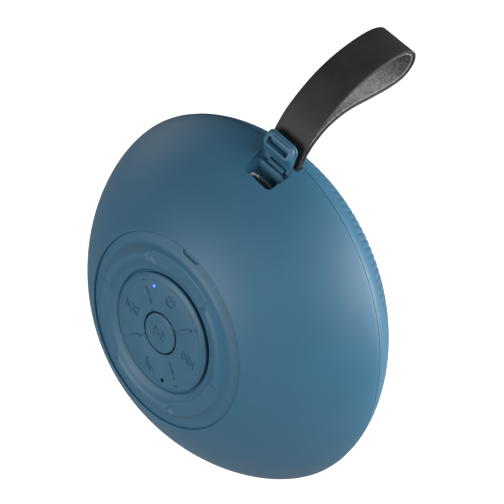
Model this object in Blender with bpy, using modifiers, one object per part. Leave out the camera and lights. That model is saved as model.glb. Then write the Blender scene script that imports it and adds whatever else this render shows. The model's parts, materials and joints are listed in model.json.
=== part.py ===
"""Round shower speaker with a wrist strap, built as it comes apart on a bench.

Every piece is drawn in the bench frame: the control panel faces the reader, so x is
to the right, y is towards the strap and z is out of the panel. z = 0 is the plane of
the three flats that a wall base would twist on to. The empty "speaker_axis" then
stands the speaker up: the strap points to +Z and the panel to +Y.
"""
import math

import bmesh
import bpy
from mathutils import Matrix, Vector

MM = 0.001
GAP = 0.3 * MM              # clearance between pieces that touch on the real object

# ---- overall form ------------------------------------------------------------------
BODY_RADIUS = 53.9 * MM     # at the seam between the rear shell and the grille
SEAM_Z = -28.5 * MM         # height of that seam
REAR_SWELL = 34.65 * MM     # depth scale of the rear super-ellipse
REAR_POWER = 1.4
FRONT_SWELL = 29.7 * MM     # depth scale of the front super-ellipse
FRONT_POWER = 1.52
GRILLE_EDGE_DROP = 11.5 * MM    # how far below the seam the front turns into the dome
FRONT_Z = -49.0 * MM        # flat middle of the grille
FRONT_FLAT_RADIUS = 12.0 * MM
SHELL_WALL = 2.0 * MM
SEAL_WIDTH = 1.2 * MM
GRILLE_WALL = 1.6 * MM
TURN_STEPS = 32             # facets round a large turned piece
DRIVER_STEPS = 24           # facets round a piece of the driver
SMALL_STEPS = 20            # facets round a small turned piece

# ---- control panel -----------------------------------------------------------------
PAD_RADIUS = 17.35 * MM     # keypad disc
PAD_TOP = 0.1 * MM
PAD_THICK = 1.3 * MM
PAD_EDGE_DROP = 0.6 * MM    # chamfer round the disc's edge
PAD_EDGE_WIDTH = 1.45 * MM
PAD_RIM = 1.85 * MM         # width of the fixed rim round the keys
PLAY_RADIUS = 5.86 * MM
HUB_WIDTH = 0.8 * MM        # fixed ring round the centre key
SPOKE_WIDTH = 1.6 * MM
KEY_TRAVEL = 0.4 * MM
KEY_ORBIT = 0.634 * PAD_RADIUS      # where the four outer keys press their switches
LIGHT_POLAR = (0.795 * PAD_RADIUS, math.radians(29.6))  # radius, angle anticlockwise from the strap
MIC_POLAR = (0.824 * PAD_RADIUS, math.radians(-155.8))
LIGHT_RADIUS = 0.55 * MM
MIC_HOLE_RADIUS = 0.7 * MM
RING_OUTER = 28.1 * MM      # bayonet ring
RING_THICK = 1.8 * MM
BEAD_TOP = 0.95 * MM        # height of the ring's bead over the flats
BEAD_RADIUS = PAD_RADIUS + 4.85 * MM
LEDGE_WIDTH = 2.25 * MM     # ledge under the keypad's rim
FLAT_COUNT = 3
FLAT_FOOT = math.radians(26)    # half-angle of a flat
FLAT_TIP = math.radians(36)     # half-angle at the top of its ramps
NOTCH_RADIUS = 2.9 * MM     # pry notch in the ring's outer edge
NOTCH_DEPTH = 1.7 * MM
BOARD_THICK = 1.0 * MM
KEY_BOARD_RADIUS = 22.0 * MM
SWITCH_SIZE = 4.0 * MM
SWITCH_HEIGHT = 1.5 * MM
PLUNGER_RADIUS = 1.0 * MM
PLUNGER_LENGTH = 1.5 * MM

# ---- charging port and its plug ----------------------------------------------------
PORT_X = 5.5 * MM           # half-width of the recess
PORT_LOW = -25.6 * MM       # recess edge beside the strap
PORT_HIGH = -18.3 * MM      # recess edge beside the panel
PORT_STEP = -24.0 * MM      # the deep part stops here, leaving a ledge
PORT_DEPTH = 2.8 * MM       # depth of the recess at its edge beside the panel
LEDGE_DEPTH = 2.6 * MM      # depth of the ledge at the edge beside the strap
PORT_WALL = 1.3 * MM
PORT_CORNER = 0.8 * MM
USB_WIDTH = 8.94 * MM       # receptacle shell, as the connector standard gives it
USB_HEIGHT = 3.26 * MM
USB_LENGTH = 7.3 * MM
USB_Z = -21.4 * MM
PLUG_Z = -25.0 * MM         # hinge line of the plug, on the shell's surface
PLUG_THICK = 2.6 * MM
PLUG_SKIN = 0.25 * MM       # how far the closed plug lies under the shell's surface
PLUG_NECK = 0.7 * MM
PLUG_CORNER = 2.2 * MM
PLUG_SOCKET = (7.9 * MM, 2.6 * MM, 1.5 * MM)    # hollow in its face: width, length, depth
ANCHOR_X = 3.0 * MM
ANCHOR_THICK = 0.5 * MM
ANCHOR_LENGTH = 4.0 * MM

# ---- strap -------------------------------------------------------------------------
STRAP_WIDTH = 11.5 * MM
STRAP_THICK = 1.45 * MM
STRAP_HINGE = (BODY_RADIUS + 0.7 * MM, SEAM_Z + 1.15 * MM)  # y, z of the line where it flexes
STRAP_ROOT = 1.9 * MM       # thickness of the two ends stitched together
EYE_RADIUS = 1.7 * MM       # sewn eye round the pin
PIN_RADIUS = 0.8 * MM
PIN_Y = BODY_RADIUS - 8.4 * MM
PIN_LENGTH = 15.0 * MM

# ---- driver ------------------------------------------------------------------------
BAFFLE_Z = -38.0 * MM       # front face of the baffle
BAFFLE_THICK = 2.0 * MM
BAFFLE_RADIUS = 0.8367 * BODY_RADIUS
BAFFLE_HOLE = 24.9 * MM
FLANGE_RADIUS = 31.0 * MM
FLANGE_THICK = 1.0 * MM
CONE_RADIUS = 19.5 * MM
COIL_RADIUS = 7.9 * MM      # outside of the voice coil
COIL_WALL = 0.5 * MM
MAGNET_RADIUS = 17.0 * MM
MAGNET_THICK = 4.6 * MM
PLATE_THICK = 2.0 * MM
POLE_RADIUS = 6.9 * MM
DRIVER_SCREW_ORBIT = 28.4 * MM
CASE_SCREW_ORBIT = 0.7792 * BODY_RADIUS
SCREW_RADIUS = 1.0 * MM
SCREW_HEAD = 1.9 * MM
SCREW_HEAD_HEIGHT = 1.1 * MM
SCREW_LENGTH = 6.0 * MM

# ---- battery and boards ------------------------------------------------------------
CELL_SIZE = (50.0 * MM, 34.0 * MM, 5.4 * MM)
FOAM_THICK = 1.5 * MM
SHEET_THICK = 0.8 * MM
MAIN_BOARD_SIZE = (28.0 * MM, 20.0 * MM, 1.2 * MM)

SLOT_COUNT = 20
SLOT_WIDTH = 1.6 * MM
INNER_SLOT_COUNT = 10

# =============================== scene and helpers ==================================
for stale in list(bpy.data.objects):
    bpy.data.objects.remove(stale, do_unlink=True)

parts = bpy.data.collections.new("shower_speaker")
cutters = bpy.data.collections.new("cutters")
bpy.context.scene.collection.children.link(parts)
bpy.context.scene.collection.children.link(cutters)


def material(name, colour, roughness, metallic=0.0):
    """One Principled finish; colour is linear RGB."""
    made = bpy.data.materials.new(name)
    made.use_nodes = True
    shader = made.node_tree.nodes["Principled BSDF"]
    shader.inputs["Base Color"].default_value = (*colour, 1.0)
    shader.inputs["Roughness"].default_value = roughness
    shader.inputs["Metallic"].default_value = metallic
    return made


BLUE = material("blue_casing", (0.050, 0.130, 0.205), 0.45)
BLUE_RUBBER = material("blue_silicone", (0.046, 0.118, 0.185), 0.55)
BLACK = material("black_plastic", (0.012, 0.012, 0.013), 0.5)
LEATHER = material("black_leather", (0.014, 0.013, 0.013), 0.55)
STEEL = material("steel", (0.56, 0.57, 0.58), 0.3, 1.0)
COPPER = material("copper", (0.60, 0.26, 0.12), 0.35, 1.0)
FERRITE = material("ferrite", (0.03, 0.03, 0.032), 0.7)
PAPER = material("paper_cone", (0.020, 0.020, 0.022), 0.85)
BOARD = material("circuit_board", (0.010, 0.075, 0.035), 0.5)
FOIL = material("cell_foil", (0.42, 0.44, 0.46), 0.35, 0.6)
FOAM = material("foam", (0.045, 0.045, 0.050), 0.95)
CLOTH = material("acoustic_cloth", (0.012, 0.012, 0.014), 0.95)
LAMP = material("blue_lamp", (0.05, 0.12, 0.95), 0.15)
RED_WIRE = material("red_wire", (0.35, 0.02, 0.015), 0.5)

axis = bpy.data.objects.new("speaker_axis", None)
axis.rotation_euler = (math.radians(90), 0, math.radians(180))
parts.objects.link(axis)


def hinge_line(name, y, z):
    """An empty on a hinge line along x."""
    made = bpy.data.objects.new(name, None)
    made.parent = axis
    made.location = (0, y, z)
    parts.objects.link(made)
    return made


def place(made, finish=None, at=(0, 0, 0), parent=None, turn=0.0):
    """Put a mesh object in the parts collection, or in the cutters where it has no finish."""
    for owner in list(made.users_collection):
        owner.objects.unlink(made)
    if finish is None:
        cutters.objects.link(made)
        made.hide_render = True
        made.display_type = 'WIRE'
    else:
        parts.objects.link(made)
        made.data.materials.clear()
        made.data.materials.append(finish)
    made.parent = parent or axis
    made.location = at
    made.rotation_euler = (0, 0, turn)
    return made


def from_bmesh(name, shape):
    """Turn a bmesh into a new object."""
    mesh = bpy.data.meshes.new(name)
    shape.to_mesh(mesh)
    shape.free()
    return bpy.data.objects.new(name, mesh)


def turned(name, profile, finish=None, steps=TURN_STEPS, loop=True, at=(0, 0, 0), **where):
    """Turn a profile of (radius, height) points round z with a Screw modifier.

    The points run down the outer side, from top to bottom. A loop is a ring's closed
    section; without it the profile starts and ends on the axis.
    """
    count = len(profile)
    edges = [(i, i + 1) for i in range(count - 1)] + ([(count - 1, 0)] if loop else [])
    mesh = bpy.data.meshes.new(name)
    mesh.from_pydata([(r, 0, z) for r, z in profile], edges, [])
    made = place(bpy.data.objects.new(name, mesh), finish, at, **where)
    screw = made.modifiers.new("turn", 'SCREW')
    screw.steps = screw.render_steps = steps
    screw.use_merge_vertices = True
    screw.merge_threshold = 0.00001
    screw.use_smooth_shade = True
    return made


def block(name, low, high, finish=None, bevel=0.0, segments=2, edges="all", **where):
    """A box between two corners; edges="y" or "z" rounds only the edges along that axis."""
    shape = bmesh.new()
    bmesh.ops.create_cube(shape, size=1.0)
    for vert in shape.verts:
        vert.co = Vector([(a + b) / 2 + c * (b - a) for a, b, c in zip(low, high, vert.co)])
    if bevel:
        along = {"y": 1, "z": 2}.get(edges)
        chosen = [e for e in shape.edges if along is None
                  or abs((e.verts[0].co - e.verts[1].co)[along]) > 1e-7]
        bmesh.ops.bevel(shape, geom=chosen, offset=bevel, segments=segments, profile=0.5,
                        affect='EDGES', clamp_overlap=True)
    return place(from_bmesh(name, shape), finish, **where)


def rod(name, radius, low, high, finish=None, x=0.0, y=0.0, steps=16, **where):
    """A cylinder along z at (x, y)."""
    shape = bmesh.new()
    bmesh.ops.create_cone(shape, cap_ends=True, segments=steps, radius1=radius, radius2=radius,
                          depth=high - low)
    return place(from_bmesh(name, shape), finish, at=(x, y, (low + high) / 2), **where)


def plate(name, outlines, low, high, finish=None, **where):
    """A flat outline in x and y, with holes as further outlines, between two heights."""
    curve = bpy.data.curves.new(name, 'CURVE')
    curve.dimensions = '2D'
    curve.fill_mode = 'BOTH'
    curve.extrude = (high - low) / 2
    for outline in outlines:
        spline = curve.splines.new('POLY')
        spline.points.add(len(outline) - 1)
        for point, (x, y) in zip(spline.points, outline):
            point.co = (x, y, 0, 1)
        spline.use_cyclic_u = True
    made = meshed(bpy.data.objects.new(name, curve))
    for vert in made.data.vertices:
        vert.co.z += (high + low) / 2
    return place(made, finish, **where)


def meshed(source):
    """Make a curve object a mesh, with its caps welded."""
    parts.objects.link(source)
    bpy.context.view_layer.update()
    evaluated = source.evaluated_get(bpy.context.evaluated_depsgraph_get())
    mesh = bpy.data.meshes.new_from_object(evaluated)
    shape = bmesh.new()
    shape.from_mesh(mesh)
    bmesh.ops.remove_doubles(shape, verts=shape.verts, dist=0.000005)
    shape.to_mesh(mesh)
    shape.free()
    name = source.name
    bpy.data.objects.remove(source, do_unlink=True)
    return bpy.data.objects.new(name, mesh)


def lead(name, points, radius, finish):
    """A wire: a tube along a smooth curve through the points."""
    curve = bpy.data.curves.new(name, 'CURVE')
    curve.dimensions = '3D'
    curve.bevel_depth = radius
    curve.bevel_resolution = 2
    curve.use_fill_caps = True
    dense = smooth_path(points, 3)
    spline = curve.splines.new('POLY')
    spline.points.add(len(dense) - 1)
    for point, place_at in zip(spline.points, dense):
        point.co = (*place_at, 1)
    return place(meshed(bpy.data.objects.new(name, curve)), finish)


def smooth_path(points, steps, closed=False):
    """Catmull-Rom curve through the points, steps segments a span."""
    pts = [Vector(p) for p in points]
    count = len(pts)
    spans = count if closed else count - 1
    out = []
    for i in range(spans):
        a = pts[(i - 1) % count] if closed or i else pts[0] * 2 - pts[1]
        b, c = pts[i], pts[(i + 1) % count]
        d = pts[(i + 2) % count] if closed or i + 2 < count else c * 2 - b
        for k in range(steps):
            t = k / steps
            out.append(0.5 * ((2 * b) + (c - a) * t + (2 * a - 5 * b + 4 * c - d) * t * t
                              + (3 * b - a - 3 * c + d) * t ** 3))
    if not closed:
        out.append(pts[-1])
    return out


def boolean(target, other, operation='DIFFERENCE'):
    """Cut, join or keep the overlap with an EXACT Boolean modifier."""
    step = target.modifiers.new(other.name, 'BOOLEAN')
    step.operation = operation
    step.solver = 'EXACT'
    step.object = other
    return target


def applied(made, finish=None):
    """A fresh object that holds the evaluated mesh of a cutter and replaces it."""
    bpy.context.view_layer.update()
    evaluated = made.evaluated_get(bpy.context.evaluated_depsgraph_get())
    mesh = bpy.data.meshes.new_from_object(evaluated)
    new = bpy.data.objects.new(made.name + "_solid", mesh)
    place(new, finish, at=tuple(made.location))
    new.rotation_euler = made.rotation_euler
    bpy.data.objects.remove(made, do_unlink=True)
    return new


def polar(radius, angle):
    """The point at a radius and an angle anticlockwise from the strap."""
    return -radius * math.sin(angle), radius * math.cos(angle)


def arc(radius, start, end, steps):
    """Points round an arc in the polar sense above."""
    return [polar(radius, start + (end - start) * i / steps) for i in range(steps + 1)]


# ================================== outer form ======================================
def rear_radius(z, inset=0.0):
    """Outer radius of the rear shell at a height, less an inset."""
    rise = max(0.0, (z - SEAM_Z) / REAR_SWELL)
    return BODY_RADIUS * math.sqrt(max(0.0, 1 - rise ** REAR_POWER)) - inset


def rear_height(radius):
    """Height at which the rear shell's outer surface has a radius."""
    return SEAM_Z + REAR_SWELL * (1 - (radius / BODY_RADIUS) ** 2) ** (1 / REAR_POWER)


def rear_profile(steps, start_radius, inset=0.0):
    """Points down the rear shell from a radius to the seam, moved inwards by an inset."""
    low, high = SEAM_Z, rear_height(start_radius)
    points = []
    for i in range(steps + 1):
        t = i / steps
        z = high + (low - high) * t
        r = rear_radius(z)
        dz = 0.1 * MM
        slope = (rear_radius(z - dz) - rear_radius(z + dz)) / (2 * dz) if z - dz > low else 0.0
        length = math.hypot(slope, 1)
        points.append((r - inset / length, z - inset * slope / length))
    return points


def front_profile(steps, inset=0.0):
    """Points down the grille: a super-ellipse from the seam, then an elliptic dome to the flat."""
    points = []
    for i in range(steps + 1):
        drop = GRILLE_EDGE_DROP * i / steps
        points.append((BODY_RADIUS * math.sqrt(1 - (drop / FRONT_SWELL) ** FRONT_POWER),
                       SEAM_Z - drop))
    edge_r, edge_z = points[-1]
    before = points[-2]
    slope = (before[0] - edge_r) / (before[1] - edge_z)     # dr/dz at the edge
    depth = edge_z - FRONT_Z
    reach = edge_r - FRONT_FLAT_RADIUS
    pull = Vector((edge_r - slope * depth * 0.75, edge_z - depth * 0.75))
    start, end = Vector((edge_r, edge_z)), Vector((edge_r - reach, FRONT_Z))
    shoulder = Vector((edge_r - reach * 0.45, FRONT_Z))
    for i in range(1, steps + 1):
        t = i / steps
        p = (start * (1 - t) ** 3 + pull * 3 * t * (1 - t) ** 2
             + shoulder * 3 * t * t * (1 - t) + end * t ** 3)
        points.append((p.x, p.y))
    if inset == 0.0:
        return points
    moved = []
    for i, (r, z) in enumerate(points):
        a = points[max(i - 1, 0)]
        b = points[min(i + 1, len(points) - 1)]
        dr, dz = b[0] - a[0], b[1] - a[1]
        if i == 0:
            dr = 0.0
        if i == len(points) - 1:
            dz = 0.0
        length = math.hypot(dr, dz)
        moved.append((r + inset * dz / length, z - inset * dr / length))
    return moved


# ================================== rear shell ======================================
ring_seat = RING_OUTER + GAP
flange_top = -RING_THICK - 1.5 * MM - GAP       # the ring's underside less the gap
flange_low = flange_top - 1.6 * MM
key_hole = PAD_RADIUS + 2.1 * MM


def build_rear_shell():
    """Turned bowl with a flange under the ring, port housing, bosses and strap lugs."""
    outer = rear_profile(9, ring_seat + 0.9 * MM)
    inner = rear_profile(6, ring_seat + 4.5 * MM, SHELL_WALL)
    inner[-1] = (inner[-1][0], SEAM_Z + GAP / 2)
    outer[-1] = (outer[-1][0], SEAM_Z + GAP / 2)
    section = ([(ring_seat, outer[0][1] - 0.4 * MM)] + outer + inner[::-1]
               + [(inner[0][0] - 1.6 * MM, flange_low), (key_hole, flange_low),
                  (key_hole, flange_top), (ring_seat, flange_top)])
    shell = turned("rear_shell", section, BLUE)

    middle = rear_profile(9, ring_seat + 4.0 * MM, SHELL_WALL * 0.5)
    core = turned("core", [(0, middle[0][1])] + middle + [(0, middle[-1][1])], loop=False)

    housing = block("port_housing",
                    (-PORT_X - PORT_WALL, port_floor - PORT_WALL, channel_top - 0.3 * MM),
                    (PORT_X + PORT_WALL, BODY_RADIUS, PORT_HIGH + PORT_WALL))
    boolean(shell, applied(boolean(housing, core, 'INTERSECT')), 'UNION')
    for side in (-1, 1):
        near, far = STRAP_WIDTH / 2 + 2 * GAP, PIN_LENGTH / 2 + 0.9 * MM
        lug = block(f"strap_lug_{side}",
                    (min(side * near, side * far), PIN_Y - 2.2 * MM, SEAM_Z + GAP),
                    (max(side * near, side * far), BODY_RADIUS, PORT_LOW + 0.6 * MM))
        boolean(shell, applied(boolean(lug, core, 'INTERSECT')), 'UNION')
    boss_low = BAFFLE_Z + BAFFLE_THICK + GAP
    limit = turned("boss_limit",
                   [(0, middle[0][1])] + middle + [(middle[-1][0], boss_low), (0, boss_low)],
                   loop=False)
    for i in range(4):
        x, y = polar(CASE_SCREW_ORBIT, math.radians(45 + 90 * i))
        boss = rod(f"boss_{i}", 2.9 * MM, boss_low, -10 * MM, x=x, y=y)
        boolean(shell, applied(boolean(boss, limit, 'INTERSECT')), 'UNION')
        boolean(shell, rod(f"pilot_{i}", SCREW_RADIUS + GAP, boss_low - MM,
                           boss_low + SCREW_LENGTH, x=x, y=y, steps=12))
    bpy.data.objects.remove(limit, do_unlink=True)
    bpy.data.objects.remove(core, do_unlink=True)

    outside = BODY_RADIUS + 6 * MM
    deep = block("port_deep", (-PORT_X, port_floor, PORT_STEP), (PORT_X, outside, PORT_HIGH),
                 bevel=PORT_CORNER, segments=3, edges="y")
    mouth = block("port_mouth", (-PORT_X, port_ledge, PORT_LOW), (PORT_X, outside, PORT_HIGH),
                  bevel=PORT_CORNER, segments=3, edges="y")
    window = block("usb_window",
                   (-USB_WIDTH / 2 - GAP, port_floor - 4 * MM, USB_Z - USB_HEIGHT / 2 - GAP),
                   (USB_WIDTH / 2 + GAP, port_floor + 2 * MM, USB_Z + USB_HEIGHT / 2 + GAP),
                   bevel=1.2 * MM, segments=2, edges="y")
    slot = block("anchor_slot",
                 (-ANCHOR_X - GAP, anchor_back - GAP, anchor_low - GAP),
                 (ANCHOR_X + GAP, port_ledge + 1 * MM, anchor_low + ANCHOR_THICK + GAP))
    channel = block("strap_channel",
                    (-STRAP_WIDTH / 2 - GAP, PIN_Y - 4 * MM, SEAM_Z - 2 * MM),
                    (STRAP_WIDTH / 2 + GAP, outside, channel_top))
    eye_room = block("eye_room",
                     (-STRAP_WIDTH / 2 - GAP, PIN_Y - 4 * MM, SEAM_Z - 2 * MM),
                     (STRAP_WIDTH / 2 + GAP, PIN_Y + EYE_RADIUS + GAP,
                      STRAP_HINGE[1] + EYE_RADIUS + GAP))
    pin_bore = pin_rod("pin_bore", PIN_RADIUS + GAP, PIN_LENGTH / 2 + GAP)
    for cutter in (deep, mouth, window, slot, channel, eye_room, pin_bore):
        boolean(shell, cutter)
    return shell


def pin_rod(name, radius, half, finish=None):
    """A cylinder along x through the strap's anchor."""
    shape = bmesh.new()
    bmesh.ops.create_cone(shape, cap_ends=True, segments=16, radius1=radius, radius2=radius,
                          depth=2 * half, matrix=Matrix.Rotation(math.radians(90), 4, 'Y'))
    return place(from_bmesh(name, shape), finish, at=(0, PIN_Y, STRAP_HINGE[1]))


port_floor = rear_radius(PORT_HIGH) - PORT_DEPTH
port_ledge = rear_radius(PORT_LOW) - LEDGE_DEPTH
channel_top = STRAP_HINGE[1] + STRAP_ROOT / 2 + 0.2 * MM
anchor_low = PORT_LOW + GAP
anchor_back = port_ledge + 1.1 * MM - ANCHOR_LENGTH
build_rear_shell()

# ================================ bayonet ring ======================================
ring_inner = PAD_RADIUS + 0.5 * MM
pad_low = PAD_TOP - PAD_THICK
ledge_top = pad_low - GAP
ring_low = -RING_THICK - 1.5 * MM


def build_bayonet_ring():
    """Turned ring: a dished lip, a bead, a hollow outer slope; three flats cut in the bead."""
    bead = [(ring_inner, ledge_top), (ring_inner, -1.1 * MM)]
    lift = [(-3.3, -1.60), (-2.5, -1.30), (-1.9, -0.75), (-1.2, -0.20), (-0.4, 0.0),
            (0.4, 0.0), (1.1, -0.25), (1.7, -0.80), (2.2, -1.45), (2.9, -2.10), (3.9, -2.40)]
    bead += [(BEAD_RADIUS + r * MM, BEAD_TOP + z * MM) for r, z in lift]
    section = ([(ring_inner - LEDGE_WIDTH, ledge_top)] + bead
               + [(RING_OUTER, BEAD_TOP - 2.45 * MM), (RING_OUTER, ring_low),
                  (ring_inner - LEDGE_WIDTH, ring_low)])
    ring = turned("bayonet_ring", section, BLUE)
    for i in range(FLAT_COUNT):
        boolean(ring, flat_cutter(f"flat_{i}", 2 * math.pi * i / FLAT_COUNT))
    notch = rod("pry_notch", NOTCH_RADIUS, -2.4 * MM, 2 * MM, y=RING_OUTER + NOTCH_RADIUS - NOTCH_DEPTH,
                steps=24)
    return boolean(ring, notch)


def flat_cutter(name, angle):
    """A box bent to a sector: its floor is at z = 0 and its ends are ramps."""
    shape = bmesh.new()
    bmesh.ops.create_cube(shape, size=2.0)
    for vert in shape.verts:
        side, outer, top = vert.co
        radius = 32 * MM if outer > 0 else 17 * MM
        half = FLAT_TIP if top > 0 else FLAT_FOOT
        x, y = polar(radius, angle - side * half)
        vert.co = (x, y, (BEAD_TOP + 0.15 * MM) if top > 0 else 0.0)
    return place(from_bmesh(name, shape))


build_bayonet_ring()

# ==================================== keypad ========================================
rim_inner = PAD_RADIUS - PAD_RIM
hub_inner = PLAY_RADIUS + GAP
hub_outer = hub_inner + HUB_WIDTH
key_inner = hub_outer + GAP
key_outer = rim_inner - GAP
plunger_top = pad_low - GAP
plunger_low = plunger_top - PLUNGER_LENGTH
switch_top = plunger_low - KEY_TRAVEL - GAP
switch_low = switch_top - SWITCH_HEIGHT
board_top = min(switch_low - GAP, flange_low - GAP)
switch_low = board_top + GAP
light_at = polar(*LIGHT_POLAR)
mic_at = polar(*MIC_POLAR)


def sector(inner, outer, middle, gap, steps=10):
    """Outline between two radii and between two diagonals, kept half a gap off each diagonal."""
    quarter = math.radians(45)

    def reach(radius):
        return quarter - math.asin(gap / radius)

    return (arc(outer, middle - reach(outer), middle + reach(outer), steps)
            + arc(inner, middle + reach(inner), middle - reach(inner), steps // 2))


def build_keypad():
    """The fixed web of the keypad, its four outer keys and the centre key."""
    rim = turned("keypad_frame",
                 [(rim_inner, PAD_TOP), (PAD_RADIUS - PAD_EDGE_WIDTH, PAD_TOP),
                  (PAD_RADIUS, PAD_TOP - PAD_EDGE_DROP), (PAD_RADIUS, pad_low),
                  (rim_inner, pad_low)], BLUE_RUBBER)
    hub = turned("hub", [(hub_inner, PAD_TOP), (hub_outer, PAD_TOP), (hub_outer, pad_low),
                         (hub_inner, pad_low)], steps=SMALL_STEPS)
    boolean(rim, hub, 'UNION')
    for i in range(4):
        angle = math.radians(45 + 90 * i)
        middle = (hub_inner + PAD_RADIUS) / 2
        x, y = polar(middle - 0.6 * MM, angle)
        length = (rim_inner - hub_inner) / 2 + 0.3 * MM
        spoke = block(f"spoke_{i}", (-SPOKE_WIDTH / 2, -length, pad_low + 0.01 * MM),
                      (SPOKE_WIDTH / 2, length, PAD_TOP - 0.01 * MM))
        spoke.location = (x, y, 0)
        spoke.rotation_euler = (0, 0, angle)
        boolean(rim, spoke, 'UNION')

    keys = {"key_power": 0, "key_previous": 90, "key_call": 180, "key_next": 270}
    made = {}
    for name, degrees in keys.items():
        outline = sector(key_inner, key_outer, math.radians(degrees), SPOKE_WIDTH / 2 + GAP)
        made[name] = plate(name, [outline], pad_low, PAD_TOP, BLUE_RUBBER)
    boolean(made["key_power"], rod("light_hole", LIGHT_RADIUS + GAP, pad_low - MM, PAD_TOP + MM,
                                   x=light_at[0], y=light_at[1]))
    boolean(made["key_call"], rod("mic_hole", MIC_HOLE_RADIUS, pad_low - MM, PAD_TOP + MM,
                                  x=mic_at[0], y=mic_at[1]))
    turned("key_play", [(0, PAD_TOP + 0.35 * MM), (2.4 * MM, PAD_TOP + 0.28 * MM),
                        (4.3 * MM, PAD_TOP + 0.1 * MM), (PLAY_RADIUS, PAD_TOP - 0.25 * MM),
                        (PLAY_RADIUS, pad_low), (0, pad_low)],
           BLUE_RUBBER, SMALL_STEPS, loop=False)

    spots = {name.replace("key_", ""): polar(KEY_ORBIT, math.radians(a)) for name, a in keys.items()}
    spots["play"] = (0.0, 0.0)
    for name, (x, y) in spots.items():
        rod(f"plunger_{name}", PLUNGER_RADIUS, plunger_low, plunger_top, BLACK, x=x, y=y, steps=12)
        half = SWITCH_SIZE / 2
        block(f"switch_{name}", (x - half, y - half, switch_low), (x + half, y + half, switch_top),
              STEEL, bevel=0.3 * MM, segments=1, edges="z")


build_keypad()

rod("status_light", LIGHT_RADIUS, board_top + GAP, PAD_TOP, LAMP,
    x=light_at[0], y=light_at[1], steps=12)
rod("microphone", 1.7 * MM, board_top + GAP, ring_low - GAP, STEEL, x=mic_at[0], y=mic_at[1], steps=16)
turned("key_board", [(0, board_top), (KEY_BOARD_RADIUS, board_top),
                     (KEY_BOARD_RADIUS, board_top - BOARD_THICK), (0, board_top - BOARD_THICK)],
       BOARD, DRIVER_STEPS, loop=False)

# ============================ battery, boards, port =================================
sheet_top = board_top - BOARD_THICK - GAP
sheet_low = sheet_top - SHEET_THICK
cell_top = sheet_low - GAP
cell_low = cell_top - CELL_SIZE[2]
foam_top = cell_low - GAP
foam_low = foam_top - FOAM_THICK
half_x, half_y = CELL_SIZE[0] / 2, CELL_SIZE[1] / 2
block("insulating_sheet", (-half_x * 0.8, -half_y, sheet_low), (half_x * 0.8, half_y, sheet_top), FOAM)
block("battery_cell", (-half_x, -half_y, cell_low), (half_x, half_y, cell_top), FOIL,
      bevel=1.2 * MM, segments=2)
block("battery_foam", (-half_y * 0.7, -half_y * 0.7, foam_low), (half_y * 0.7, half_y * 0.7, foam_top),
      FOAM)
block("battery_board", (half_x + GAP, -half_y * 0.7, cell_top - 3.6 * MM),
      (half_x + 3.2 * MM, half_y * 0.7, cell_top - 2.8 * MM), BOARD)

usb_front = port_floor - 0.1 * MM
usb_back = usb_front - USB_LENGTH
main_top = USB_Z + USB_HEIGHT / 2 + GAP + MAIN_BOARD_SIZE[2]
main_low = main_top - MAIN_BOARD_SIZE[2]
main_far = usb_front - 1.8 * MM
main_near = main_far - MAIN_BOARD_SIZE[1]
block("main_board", (-MAIN_BOARD_SIZE[0] / 2, main_near, main_low),
      (MAIN_BOARD_SIZE[0] / 2, main_far, main_top), BOARD, bevel=1.0 * MM, segments=2, edges="z")
block("amplifier_chip", (-12 * MM, main_near + 3 * MM, main_top + GAP),
      (-6 * MM, main_near + 9 * MM, main_top + GAP + 1.1 * MM), BLACK)
block("radio_chip", (4 * MM, main_near + 3 * MM, main_top + GAP),
      (9 * MM, main_near + 8 * MM, main_top + GAP + 0.9 * MM), BLACK)
usb_shell = block("usb_shell", (-USB_WIDTH / 2, usb_back, USB_Z - USB_HEIGHT / 2),
                  (USB_WIDTH / 2, usb_front, USB_Z + USB_HEIGHT / 2), STEEL,
                  bevel=1.3 * MM, segments=3, edges="y")
usb_wall = 0.3 * MM
boolean(usb_shell, block("usb_hollow",
                         (-USB_WIDTH / 2 + usb_wall, usb_back - MM, USB_Z - USB_HEIGHT / 2 + usb_wall),
                         (USB_WIDTH / 2 - usb_wall, usb_front + MM, USB_Z + USB_HEIGHT / 2 - usb_wall),
                         bevel=1.0 * MM, segments=3, edges="y"))
block("usb_tongue", (-3.35 * MM, usb_back, USB_Z - 0.35 * MM), (3.35 * MM, usb_front - 1 * MM,
      USB_Z + 0.35 * MM), BLACK)

# =================================== port plug ======================================
block("plug_anchor", (-ANCHOR_X, anchor_back, anchor_low),
      (ANCHOR_X, port_ledge + 1.1 * MM, anchor_low + ANCHOR_THICK), BLUE_RUBBER)
plug_y = rear_radius(PLUG_Z) + 0.1 * MM
plug_toe = math.hypot(rear_radius(PORT_HIGH) - plug_y, PORT_HIGH - PLUG_Z) - 0.2 * MM
plug_closed = math.atan2(PORT_HIGH - PLUG_Z, rear_radius(PORT_HIGH) - plug_y)


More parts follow.
